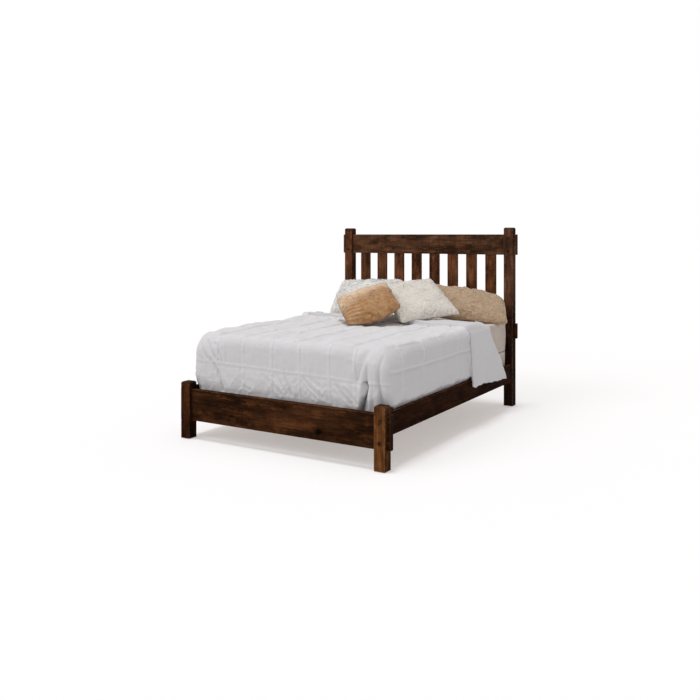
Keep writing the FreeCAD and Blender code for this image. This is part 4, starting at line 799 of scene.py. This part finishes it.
def kept_to_room(p, flap):
    """The cloth kept inside the rails, the flap outside them, and the fold's end set."""
    x, y, z = p.T
    wave = 0.007 * noise(np.stack([0 * x, y * 11, 0 * z], 1), 54)
    z = z + flap * wave * smooth(0.44, 0.34, z)
    y = y - FOLD_FORWARD * smooth(0.30, 0.62, z) * smooth(0.30, 0.55, y)
    low = z < RAIL_TOP
    inside = np.abs(x) < RAIL_MIDDLE
    x = np.where(low & inside, np.clip(x, -INSIDE_RAILS, INSIDE_RAILS), x)
    y = np.where(low, np.maximum(y, -INSIDE_FOOTBOARD), y)
    beside_rail = ~inside & (z < RAIL_TOP - 0.001)
    x = np.where(beside_rail, np.sign(x) * np.clip(np.abs(x), *FLAP_ROOM), x)
    return np.stack([x, y, z], 1)


def comforter():
    item = remeshed("quilted_comforter", "comforter", filled_out, voxel=0.0062, rounds=7)
    mesh = item.data
    p, n = surface_of(mesh)
    side = np.sign(p[:, 0])
    facing_foot = np.where(p[:, 1] < -0.9, -n[:, 1], -1)
    out = (n[:, 2] > 0.15) | (n[:, 0] * side > 0.25) | (facing_foot > 0.25)
    outer = out * smooth(0.0, 0.5, np.maximum.reduce([n[:, 2], n[:, 0] * side, facing_foot]))
    on_flap = (p[:, 2] > FLAP_ABOVE) | (np.abs(p[:, 0]) > FLAP_BEYOND)
    on_flap &= hem_distance(p) > -0.012
    p = shouldered(p, out, outer, on_flap)
    set_points(mesh, p)
    n = surface_of(mesh)[1]
    x, y, z = p.T
    top = smooth(0.35, 0.8, n[:, 2])
    flank = smooth(0.35, 0.8, n[:, 0] * side) * (z < 0.71)
    foot = smooth(0.35, 0.8, -n[:, 1]) * (y < -0.88)
    flap = on_flap.astype(float)
    body = 1 - flap
    hanging = np.clip(foot + flank, 0, 1)
    on_top = top * (1 - hanging)

    lengthwise, crosswise, rows = seam_distances(p, foot, flank, on_flap)
    hem = hem_distance(p)
    seam = np.minimum.reduce([np.abs(lengthwise) + 0.01 * flap, np.abs(crosswise), np.abs(rows)])
    seam = np.where(on_flap, np.minimum(seam, np.abs(hem - 0.026)), seam)
    shift = 0.0034 * (1 - dip(seam, 0.055)) - 0.0018
    # A seam is a thin ridge with a groove beside it where the cloth hangs, a groove on top
    ridge = np.maximum.reduce([dip(off, 0.007) for off in (lengthwise, crosswise, rows)])
    groove = np.maximum(dip(lengthwise - 0.014, 0.008) * foot, dip(rows - 0.014, 0.009))
    shift += hanging * (0.0026 * ridge - 0.0034 * groove - 0.0014 * dip(seam, 0.022))
    shift -= on_top * (0.0062 * dip(lengthwise, 0.011) + 0.0030 * dip(crosswise, 0.010))
    shift += on_top * 0.0024 * dip(lengthwise + 0.022, 0.012)
    shift += 0.0022 * dip(seam, 0.05) * puckers(p, lengthwise, crosswise, rows, top)
    # Long soft wrinkles, lengthwise on the top and upright where the cloth hangs
    slack = warped(p, 0.5, 31, (9, 1.6, 0), (0, 2.4, 0), (0, 0, 7))
    crest = creased(warped(p, 0.5, 33, (11, 1.4, 0), (-0.6, 1.5, 0), (0, 0, 6)), 36) - 0.3
    slant = creased(warped(p, 0.7, 43, (9, 5, 0), (-2, 2.6, 0), (0, 0, 6)), 46) - 0.3
    shift += (0.0020 + 0.0040 * on_top) * layered(slack, 32, 3)
    shift += (0.0010 + 0.0070 * on_top) * crest + 0.0036 * on_top * slant
    shift += hanging * 0.0026 * layered(p * (13, 13, 2.4), 37, 2) * smooth(0.72, 0.45, z)
    shift += hanging * 0.0012 * layered(p * (42, 42, 3.0), 38, 2)
    # The lower rows are crumpled where they are pushed behind the rails
    crumple = foot * smooth(0.50, 0.42, z) * body
    creases = creased(slanted(p, (22, 0, -16), (0, 4, 0), (7, 0, 9)), 41) - 0.3
    shift += crumple * (0.0050 * creases + 0.0022 * layered(p * (12, 4, 60), 42, 2))
    creases = creased(slanted(p, (4, 0, 0), (0, 17, 10), (0, -5, 14)), 47) - 0.3
    shift += flank * smooth(0.56, 0.40, z) * body * 0.0034 * creases
    shift -= 0.004 * hanging * smooth(0.42, 0.36, z) * body
    # Painted shade in the grooves where the cloth hangs, along the seams on top, and between the
    # wrinkles' crests
    painted_shade = 0.20 * hanging * groove
    painted_shade += on_top * (0.26 * dip(lengthwise, 0.008) + 0.13 * dip(crosswise, 0.008))
    painted_shade = body * (painted_shade + on_top * 0.16 * smooth(0.25, 0.0, crest + 0.3))
    fold_shift, fold_shade = foot_folds(x, z, foot)
    shift += fold_shift
    painted_shade = np.maximum(painted_shade, fold_shade)
    # The gathered corner's opening dips in, and its dark inside is painted shade
    off, along = line_distance(x, z, CORNER_GAP)
    gap = dip(off, 0.0045 + 0.008 * along) * foot * smooth(0.0, 0.2, along)
    gap = np.maximum(gap, 0.9 * dip(off, 0.019) * foot * smooth(0.66, 0.80, along))
    shift -= 0.006 * gap
    # The flap's top gets painted shade, greyer than the rest, and its hanging side a painted
    # highlight. It is smooth, with a soft ridge each side of its hem's stitching and loose waves
    painted_shade += 0.36 * flap * smooth(0.15, 0.5, n[:, 2])
    hem_ridge = dip(hem - 0.010, 0.011) + 0.7 * dip(hem - 0.046, 0.014)
    waves = 0.5 + 0.5 * np.sin(y * 2 * math.pi / 0.105 + 1.6 * noise(p * 5, 52))
    loose = 0.0056 * waves * smooth(0.72, 0.45, z) * flank + 0.0034 * layered(p * (5, 14, 4), 53, 2)
    shift = np.where(on_flap, 0.5 * shift + 0.0056 * hem_ridge + loose, shift)
    # The side under the flap fills out to it, except near the rail
    meets = smooth(-0.050, -0.004, hem) * smooth(0.43, 0.50, z) * (np.abs(x) > 0.70)
    shift += 0.0165 * meets * body + 0.0007 * layered(p * 55, 51, 2)
    least = np.where(on_flap, -0.0035, 0.0025 - room_inside(p, n))
    shift = np.maximum(shift, least) * outer
    set_points(mesh, kept_to_room(p + n * shift[:, None], flap))

    # Painted highlights: along the seams' ridges where the cloth hangs, along the flap's hem ridge
    # and over the flap's hanging side
    painted_highlight = np.maximum(0.5 * dip(hem - 0.010, 0.009), 0.5 * hanging)
    set_value(mesh, "painted_highlight", hanging * ridge * outer * body + flap * painted_highlight)
    set_value(mesh, "painted_shade", np.clip(painted_shade * outer, 0, 1))
    set_value(mesh, "gap", np.clip(gap * outer, 0, 1))
    mesh.materials.append(quilt_cloth())
    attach(item, "comforter_body")
    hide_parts("comforter")


comforter()


# Mattress, its fitted sheet, and the foundation

MATTRESS_CORNER = 0.058
FOUNDATION_CORNER = 0.040


def rounded_outline(node, corner, spacing):
    """A node's outline seen from above with rounded corners, and its outward directions."""
    low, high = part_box(node)
    half_x = (high.x - low.x) / 2
    half_y = (high.y - low.y) / 2
    points = []
    outward = []
    # Each side's start, end and direction, and the corner that follows it
    flat_x, flat_y = half_x - corner, half_y - corner
    sides = (
        ((half_x, -flat_y), (half_x, flat_y), (1, 0), (flat_x, flat_y)),
        ((flat_x, half_y), (-flat_x, half_y), (0, 1), (-flat_x, flat_y)),
        ((-half_x, flat_y), (-half_x, -flat_y), (-1, 0), (-flat_x, -flat_y)),
        ((-flat_x, -half_y), (flat_x, -half_y), (0, -1), (flat_x, -flat_y)),
    )
    for quarter, (start, end, direction, centre) in enumerate(sides):
        count = max(2, round(math.dist(start, end) / spacing))
        for step in range(count):
            t = step / count
            points.append([a + (b - a) * t for a, b in zip(start, end)])
            outward.append(direction)
        count = max(4, round(corner * math.pi / 2 / spacing))
        for step in range(count):
            angle = math.pi / 2 * (quarter + step / count)
            direction = (math.cos(angle), math.sin(angle))
            points.append([c + corner * d for c, d in zip(centre, direction)])
            outward.append(direction)
    return np.array(points) + (0, (low.y + high.y) / 2), np.array(outward)


def block(name, node, corner, levels, spacing, rings, material, closed=True):
    """A soft block: its outline at each level (height, how far in), then its top and bottom."""
    outline, outward = rounded_outline(node, corner, spacing)
    middle = np.array((0, (outline[:, 1].min() + outline[:, 1].max()) / 2))
    count = len(outline)
    points = []
    for height, inset in levels:
        points += [(x, y, height) for x, y in outline - outward * inset]
    top_height, top_inset = levels[-1]
    edge = outline - outward * top_inset - middle
    for ring in range(1, rings + 1):
        # The last ring stays open by a trace, so that no two of its points meet
        share = max(1 - ring / rings, 0.004)
        points += [(x, y, top_height) for x, y in edge * share + middle]
    last = len(levels) + rings - 1
    faces = []
    for row in range(last):
        for step in range(count):
            after = (step + 1) % count
            faces.append((row * count + step, row * count + after,
                          (row + 1) * count + after, (row + 1) * count + step))
    faces.append([last * count + step for step in range(count)])
    if closed:
        faces.append(list(reversed(range(count))))
    return from_lists(name, points, faces, material)


def rim(node, radius, steps, height_step):
    """Levels up a block's side that turns in by a radius at its bottom and top."""
    low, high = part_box(node)
    straight = high.z - low.z - 2 * radius
    angles = [math.pi / 2 * step / steps for step in range(steps + 1)]
    levels = [(low.z + radius * (1 - math.cos(a)), radius * (1 - math.sin(a))) for a in angles]
    count = max(1, round(straight / height_step))
    levels += [(low.z + radius + straight * step / count, 0.0) for step in range(1, count)]
    levels += [(high.z - radius * (1 - math.sin(a)), radius * (1 - math.cos(a))) for a in angles]
    return levels


def piping(name, node, corner, off_edge, radius, inset, body):
    """Round tape sewn along the upper and lower edges of a block, so far from them."""
    outline, outward = rounded_outline(node, corner, 0.02)
    low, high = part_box(node)
    points = []
    faces = []
    sides = 8
    count = len(outline)
    for height in (low.z + off_edge, high.z - off_edge):
        start = len(points)
        for (px, py), (dx, dy) in zip(outline, outward):
            for step in range(sides):
                angle = 2 * math.pi * step / sides
                reach = radius * math.cos(angle) - inset
                points.append((px + dx * reach, py + dy * reach, height + radius * math.sin(angle)))
        for row in range(count):
            for step in range(sides):
                after = (step + 1) % sides
                far = (row + 1) % count
                faces.append((start + row * sides + step, start + far * sides + step,
                              start + far * sides + after, start + row * sides + after))
    item = from_lists(name, under_comforter(np.array(points), 0.0120, 0.010), faces, TAPE)
    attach(item, body)


SHEET_CLOTH = cloth("sheet_cotton", (0.60, 0.515, 0.455), (0.66, 0.575, 0.51), 0.0009, 8.0, 0.00015)
TICKING = cloth("mattress_ticking", (0.70, 0.69, 0.66), (0.76, 0.75, 0.72), 0.0022, 20.0, 0.0004)
BORDER = cloth("foundation_cloth", (0.66, 0.56, 0.485), (0.70, 0.605, 0.53), 0.0020, 18.0, 0.0004)
TAPE = cloth("edge_tape", (0.62, 0.61, 0.58), (0.70, 0.69, 0.66), 0.0018, 30.0, 0.0003)


def mattress():
    levels = rim("mattress", 0.026, 5, 0.016)
    item = block("quilted_mattress", "mattress", MATTRESS_CORNER, levels, 0.016, 60, TICKING)
    p, n = surface_of(item.data)
    x, y = p.T[:2]
    flat = np.abs(n[:, 2]) > 0.7
    diamonds = np.sin((x + y) * math.pi / 0.16) * np.sin((x - y) * math.pi / 0.16)
    band = np.abs(np.sin((x + y) * math.pi / 0.22))
    shift = np.where(flat, 0.004 * (np.abs(diamonds) ** 0.5 - 1), 0.003 * (band - 1))
    shift += 0.0008 * layered(p * 18, 61, 2)
    # Drawn in, so that the comforter lifts off clear of it
    inset = 0.003 + 0.0055 * smooth(0.7, 0.3, np.abs(n[:, 2]))
    drawn_in = p + n * (np.minimum(shift, 0) - inset)[:, None]
    set_points(item.data, under_comforter(drawn_in, 0.0125, 0.010))
    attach(item, "mattress_body")
    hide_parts("mattress")
    piping("mattress_tape", "mattress", MATTRESS_CORNER, 0.020, 0.0035, 0.0105, "mattress_body")


def foundation():
    levels = rim("foundation_cover", 0.010, 4, 0.014)
    item = block("upholstered_foundation", "foundation_cover", FOUNDATION_CORNER, levels, 0.014, 50,
                 BORDER)
    p, n = surface_of(item.data)
    gathers = creased(p * (22, 22, 3), 71)
    inward = 0.0050 - 0.0046 * gathers * (np.abs(n[:, 2]) < 0.5)
    set_points(item.data, p - n * (inward * (n[:, 2] > -0.5))[:, None])
    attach(item, "foundation_body")
    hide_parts("foundation_cover")
    piping("foundation_tape", "foundation_cover", FOUNDATION_CORNER, 0.012, 0.0028, 0.0028,
           "foundation_body")


def fitted_sheet():
    # A straight hem takes the place of the lower turn
    steps = 6
    hem = (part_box("fitted_sheet")[0].z, 0.0015)
    levels = [hem] + rim("fitted_sheet", 0.028, steps, 0.008)[steps + 1:]
    item = block("fitted_sheet_cloth", "fitted_sheet", 0.059, levels, 0.008, 90, SHEET_CLOTH, False)
    p, n = surface_of(item.data)
    z = p[:, 2]
    side = smooth(0.7, 0.3, np.abs(n[:, 2]))
    shift = side * 0.0085 * (creased(slanted(p, (24, 0, 0), (0, 24, 4), (0, 0, 2.6)), 81) - 0.1)
    pulled = creased(slanted(p, (10, 0, 0), (0, 24, -14), (0, 0, 6)), 82)
    shift += side * 0.0024 * pulled * smooth(0.75, 1.0, p[:, 1])
    shift += (1 - side) * 0.0016 * (creased(p * (6, 10, 5), 83) - 0.3)
    shift += side * 0.0014 * layered(p * (60, 60, 8), 84, 2) * smooth(0.50, 0.47, z)
    # On the sides the wrinkles stay inside the comforter's lining
    shift = np.clip(shift, 0.0, 0.0080) - 0.0078 * side
    p = p + n * shift[:, None]
    covered = smooth(0.35, 0.15, p[:, 1])[:, None]
    set_points(item.data, covered * under_comforter(p, 0.0100, 0.010) + (1 - covered) * p)
    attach(item, "mattress_body")
    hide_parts("fitted_sheet")


mattress()
fitted_sheet()
foundation()


# Pillows: flat covers sewn at their edges and blown up, then set where the CAD pillows are

# Along its width from -1 to 1, a pillow's lowest and highest outline in shares of its height
PLUMP = (
    (-1.0, -0.494, 0.494), (-0.7, -0.484, 0.484), (0.0, -0.478, 0.478), (0.7, -0.484, 0.484),
    (1.0, -0.494, 0.494),
)
SLUMPED = (
    (-1.0, -0.494, 0.494), (-0.5, -0.478, 0.482), (0.0, -0.475, 0.480), (0.4, -0.480, 0.455),
    (0.7, -0.482, 0.390), (0.85, -0.470, 0.310), (0.95, -0.440, 0.200), (1.0, -0.400, 0.060),
)
BELLIED = (
    (-1.0, -0.494, 0.494), (-0.6, -0.520, 0.484), (-0.2, -0.545, 0.478), (0.2, -0.545, 0.478),
    (0.6, -0.520, 0.484), (1.0, -0.494, 0.494),
)
# How a cover's cloth is blown up
CLOTH = {
    "quality": 5, "mass": 0.25, "air_damping": 3.0, "tension_stiffness": 18.0,
    "compression_stiffness": 18.0, "shear_stiffness": 6.0, "bending_stiffness": 0.6,
    "use_pressure": True, "uniform_pressure_force": 6.0,
}
CLOTH_FRAMES = 36


def cover(name, width, height, columns, rows):
    """Two flat layers that share their outline, in the XZ plane."""
    points = []
    faces = []
    index = {}
    for layer in (-1, 1):
        for row, column in np.ndindex(rows + 1, columns + 1):
            rimmed = row in (0, rows) or column in (0, columns)
            if rimmed and layer == 1:
                index[layer, row, column] = index[-1, row, column]
                continue
            index[layer, row, column] = len(points)
            u = 2 * column / columns - 1
            v = 2 * row / rows - 1
            swell = 0.0 if rimmed else layer * 0.03 * (1 - u * u) * (1 - v * v) + layer * 0.002
            points.append((u * width / 2, swell, v * height / 2))
        for row, column in np.ndindex(rows, columns):
            around = ((0, 0), (0, 1), (1, 1), (1, 0))
            face = [index[layer, row + up, column + over] for up, over in around]
            faces.append(face if layer < 0 else face[::-1])
    return from_lists(name, points, faces)


def inflate(item):
    """Blows a cover up with the cloth simulation and applies the result."""
    scene = bpy.context.scene
    cloth_step = item.modifiers.new("cloth", "CLOTH")
    for name, value in CLOTH.items():
        setattr(cloth_step.settings, name, value)
    cloth_step.settings.effector_weights.gravity = 0.0
    cloth_step.collision_settings.use_collision = False
    cloth_step.point_cache.frame_start = 1
    cloth_step.point_cache.frame_end = CLOTH_FRAMES
    for step in range(1, CLOTH_FRAMES + 1):
        scene.frame_set(step)
    settle(item)
    scene.frame_set(1)


def straightened(p, flat, width, height, sections, longer):
    """A blown-up cover in XZ whose rim is moved out to its sewn outline, the rest following."""
    u, v = (2 * flat[:, k] / np.ptp(flat[:, k]) for k in (0, 2))
    places, low, high = np.array(sections).T
    low, high = (np.interp(u, places, edge) * height for edge in (low, high))
    blunt = 1 - 0.030 * smooth(0.84, 1.0, np.abs(u)) * smooth(0.84, 1.0, np.abs(v))
    reach = width / 2 * (1 - 0.034 * (1 - v ** 4) * np.abs(u)) * np.where(u > 0, longer, 1.0)
    target = np.stack([u * reach * blunt, low + (v + 1) / 2 * (high - low) * blunt], 1)
    off = target - p[:, (0, 2)]
    s, t = ((u + 1) / 2)[:, None], ((v + 1) / 2)[:, None]

    def along(where, line):
        picked = np.where(where)[0]
        picked = picked[np.argsort(line[picked])]
        return np.stack([np.interp(line, line[picked], off[picked, k]) for k in (0, 1)], 1)

    edge = 0.9999
    left, right = along(u < -edge, v), along(u > edge, v)
    below, above = along(v < -edge, u), along(v > edge, u)
    move = (1 - s) * left + s * right + (1 - t) * below + t * above
    for a, share_u in ((-1, 1 - s), (1, s)):
        for b, share_v in ((-1, 1 - t), (1, t)):
            corner = off[np.argmin((u - a) ** 2 + (v - b) ** 2)]
            move -= share_u * share_v * corner
    p[:, (0, 2)] += move
    return p


def pillow(label, size, turns, middle, sections, relief, material, grid,
           subdivide=2, painted_sheen=None, longer=1.0, droop=0.0):
    """A pillow of a size, set by turns in degrees about Z, X and Y and by its middle.

    Its outline follows the sections, and its surface the relief. With a painted sheen given,
    that says where its nap is painted pale. Its lower edge may hang by a droop.
    """
    width, height, thickness = size
    item = cover(f"{label}_pillow", width * 1.04, height * 1.04, *grid)
    flat = points_of(item.data)
    inflate(item)
    p = points_of(item.data)
    p -= (p.max(0) + p.min(0)) / 2
    p *= np.array([width, thickness, height]) / np.ptp(p, axis=0)
    set_points(item.data, straightened(p, flat, width, height, sections, longer))
    even = item.modifiers.new("even", "SUBSURF")
    even.levels = even.render_levels = subdivide
    settle(item)
    mesh = item.data
    p, n = surface_of(mesh)
    p = p + n * relief(p)[:, None]
    carried = mesh.attributes.new("local", "FLOAT_VECTOR", "POINT")
    carried.data.foreach_set("vector", p.astype(np.float32).ravel())
    set_value(mesh, "painted_sheen", np.zeros(len(p)) if painted_sheen is None else painted_sheen(p))
    yaw, tilt, roll = (math.radians(a) for a in turns)
    turn = Matrix.Rotation(yaw, 3, "Z") @ Matrix.Rotation(-tilt, 3, "X")
    turn = turn @ Matrix.Rotation(roll, 3, "Y")
    placed = p @ np.array(turn).T + np.array(middle)
    hang = smooth(-0.1 * height, -0.5 * height, p[:, 2])
    placed[:, 2] -= droop * hang * np.clip(1 - (2 * p[:, 0] / width) ** 2, 0, 1)
    set_points(mesh, placed)
    mesh.shade_smooth()
    mesh.materials.append(material)
    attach(item, f"pillow_{label}_body")
    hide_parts(f"pillow_{label}")
    return item


def hairs(name, owner, label, count, length, width, lie, seed, material, slot, clear):
    """Short curved tapered strands that stand out of a pillow, as one mesh on it."""
    mesh = owner.data
    mesh.calc_loop_triangles()
    triangles = np.empty(len(mesh.loop_triangles) * 3, int)
    mesh.loop_triangles.foreach_get("vertices", triangles)
    triangles = triangles.reshape(-1, 3)
    p, n = surface_of(mesh)
    painted_sheen = np.empty(len(p))
    mesh.attributes["painted_sheen"].data.foreach_get("value", painted_sheen)
    a, b, c = (p[triangles[:, i]] for i in range(3))
    areas = np.linalg.norm(np.cross(b - a, c - a), axis=1)
    chance = np.random.default_rng(seed)
    picked = chance.choice(len(areas), count, p=areas / areas.sum())
    u, v = chance.random(count), chance.random(count)
    over = u + v > 1
    u[over], v[over] = 1 - u[over], 1 - v[over]
    weights = np.stack([1 - u - v, u, v], 1)
    corners = triangles[picked]
    root = (p[corners] * weights[:, :, None]).sum(1)
    up = (n[corners] * weights[:, :, None]).sum(1)
    up /= np.linalg.norm(up, axis=1)[:, None]
    stray = chance.normal(size=(count, 3)) * 0.45
    sway = np.stack([noise(root * 22 + 9 * k, seed + k) for k in range(3)], 1)
    lean = (0.0, 0.0, -lie) + stray + sway * 0.9
    lean -= (lean * up).sum(1)[:, None] * up
    reach = length * (0.6 + 0.8 * chance.random(count))
    across = np.cross(up, lean)
    across /= np.maximum(np.linalg.norm(across, axis=1), 1e-9)[:, None]
    points = []
    for t, wide in zip((0.0, 0.4, 0.75, 1.0), (1.0, 0.85, 0.5, 0.0)):
        spine = root + up * (reach * (t - 0.45 * t * t * clear))[:, None]
        spine = spine + lean * (reach * 0.75 * t * t)[:, None] - up * 0.0008
        half = across * width * wide / 2
        points += [spine - half, spine + half] if wide else [spine]
    stacked = np.stack(points, 1).reshape(-1, 3)
    # None of them reaches into the headboard
    stacked[:, 1] = np.minimum(stacked[:, 1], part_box("headboard_top_rail")[0].y - 0.002)
    each = len(points)
    faces = []
    for start in range(0, each * count, each):
        for first in (start, start + 2):
            faces.append((first, first + 2, first + 3, first + 1))
        faces.append((start + 4, start + 6, start + 5))
    item = from_lists(name, stacked, faces, material)
    set_value(item.data, "painted_sheen", np.repeat((painted_sheen[corners] * weights).sum(1), each))
    # The strands take the light as the surface under them does
    shading = up + 0.22 * lean
    shading /= np.linalg.norm(shading, axis=1)[:, None]
    item.data.normals_split_custom_set_from_vertices(np.repeat(shading, each, axis=0).tolist())
    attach(item, f"pillow_{label}_body")


def fur_relief(p):
    return 0.003 * layered(p * 26, 101, 2) - 0.002


def fleece_relief(p):
    lumps = np.abs(noise(p * 75, 111)) + 0.6 * np.abs(noise(p * 140, 112))
    return 0.0034 * lumps + 0.0024 * layered(p * 12, 113, 2) - 0.003


def soft_rows(p):
    """Rows of soft folds that run in from the left edge, from -1 to 1."""
    turns = (p[:, 0] * 0.12 + p[:, 2]) * 2 * math.pi / 0.036 + 1.8 * noise(p * 8, 121)
    return np.sin(turns) * smooth(0.02, -0.14, p[:, 0])


def nap_relief(p):
    return 0.0020 * soft_rows(p) + 0.0036 * layered(p * 14, 122, 3) - 0.0015


def nap_painted_sheen(p):
    """Painted sheen: the nap painted paler along the upper left edge and on the rows' crests."""
    edge = smooth(-0.06, 0.17, p[:, 2] - 0.25 * p[:, 0])
    rows = np.maximum(soft_rows(p), 0)
    return np.clip(0.90 * edge + 0.30 * rows + 0.12 * noise(p * 20, 123), 0, 1)


def crumpled_relief(p):
    """Creases, softer near the sewn edge."""
    q = p * (17, 12, 17) + 0.8 * noise_vectors(p * 8, 131)
    creases = creased(q, 134) + 0.6 * creased(q * 2.1, 135)
    return 0.0065 * (creases - 0.45) * (1 - 0.6 * dip(p[:, 1], 0.02)) - 0.002


# Each pile's third colour is that of its painted sheen; only the golden nap carries any
WHITE_FUR = pile("white_fur", (0.985, 0.965, 0.93), (0.99, 0.98, 0.96), (0.99, 0.98, 0.96))
GOLD_NAP = pile("golden_nap", (0.42, 0.215, 0.090), (0.60, 0.355, 0.175), (0.92, 0.70, 0.50))
FLEECE = pile("cream_fleece", (0.78, 0.73, 0.655), (0.86, 0.825, 0.765), (0.86, 0.825, 0.765))
KHAKI = cloth("speckled_khaki", (0.56, 0.41, 0.275), (0.47, 0.325, 0.205), 0.003, 26.0, 0.0006,
              sheen=0.2, spots=0.95, local=True)

white = pillow("white", (0.61, 0.42, 0.15), (5.0, 47.9, -2.6), (-0.4656, 0.8486, 0.8489), PLUMP,
               fur_relief, WHITE_FUR, (60, 42), subdivide=1)
pillow("tan", (0.64, 0.42, 0.15), (41.0, 56.7, 11.8), (0.4934, 0.8095, 0.8368), SLUMPED,
       crumpled_relief, KHAKI, (64, 42), longer=1.035)
cream = pillow("cream", (0.51, 0.51, 0.14), (42.6, 60.9, -11.7), (0.2370, 0.4346, 0.8862), PLUMP,
               fleece_relief, FLEECE, (50, 50))
gold = pillow("gold", (0.43, 0.43, 0.13), (-0.5, 62.6, -41.3), (-0.0187, 0.1008, 0.8761), BELLIED,
              nap_relief, GOLD_NAP, (44, 44), painted_sheen=nap_painted_sheen, droop=0.028)
hairs("white_pillow_fur", white, "white", 18000, 0.011, 0.0026, 0.7, 7, WHITE_FUR, "white_fur", 0.8)
hairs("golden_pillow_nap", gold, "gold", 14000, 0.008, 0.0022, 0.4, 8, GOLD_NAP, "gold_cloth", 0.6)
hairs("cream_pillow_fleece", cream, "cream", 12000, 0.005, 0.0032, 0.2, 9, FLEECE, "cream_fleece",
      0.8)


# Floor, light and camera


def stage_floor():
    """A pale floor that keeps the shadows and looks as white as the background."""
    mesh = bpy.data.meshes.new("floor")
    ends = (-60.0, 60.0)
    mesh.from_pydata([(x, y, 0) for y in ends for x in ends], [], [(0, 1, 3, 2)])
    graph = Graph(bpy.data.materials.new("pale_floor"))
    plain = graph.add("BsdfDiffuse", {"Color": (0.80, 0.80, 0.80)})
    seen = graph.add("BsdfDiffuse", {"Color": (0.62, 0.635, 0.645)})
    glow = graph.add("Emission", {"Color": (0.410, 0.385, 0.375)})
    both = graph.add("AddShader", {0: seen.outputs[0], 1: glow.outputs[0]})
    rays = graph.add("LightPath").outputs
    inputs = {0: rays["Is Camera Ray"], 1: plain.outputs[0], 2: both.outputs[0]}
    graph.add("OutputMaterial", {"Surface": graph.add("MixShader", inputs).outputs[0]})
    new_object("floor", mesh, graph.owner)


def stage_light():
    """A soft world, white where the camera, gloss and glass see it, and two broad suns."""
    world = bpy.data.worlds.new("studio")
    bpy.context.scene.world = world
    graph = Graph(world)
    soft = graph.add("Background", {"Color": (1.0, 0.965, 0.945), "Strength": 0.43})
    white = graph.add("Background", {"Color": (1.0, 1.0, 1.0), "Strength": 1.0})
    rays = graph.add("LightPath").outputs
    seen = graph.math("MAXIMUM", rays["Is Camera Ray"], rays["Is Glossy Ray"])
    seen = graph.math("MAXIMUM", seen, rays["Is Transmission Ray"])
    inputs = {0: seen, 1: soft.outputs[0], 2: white.outputs[0]}
    graph.add("OutputWorld", {"Surface": graph.add("MixShader", inputs).outputs[0]})
    for name, towards, strength, angle in (
        ("overhead", (-0.06, -0.04, 1.0), 1.36, 14), ("front_left", (-0.55, -0.90, 0.75), 0.66, 38),
    ):
        lamp = bpy.data.lights.new(name, "SUN")
        lamp.energy = strength
        lamp.angle = math.radians(angle)
        lamp.color = (0.995, 1.0, 1.015)
        item = new_object(name, lamp)
        item.rotation_euler = Vector(towards).to_track_quat("Z", "Y").to_euler()


def stage_camera():
    lens = bpy.data.cameras.new("camera")
    lens.sensor_width = 36.0
    lens.lens = 41.286
    lens.shift_x = -0.0135
    lens.shift_y = -0.1651
    lens.clip_end = 200.0
    item = new_object("camera", lens)
    item.location = (3.10631, -5.22376, 1.40465)
    item.rotation_euler = Euler((math.radians(90), 0, math.radians(30.988)))
    bpy.context.scene.camera = item


stage_floor()
stage_light()
stage_camera()
bpy.context.scene.view_settings.view_transform = "Standard"
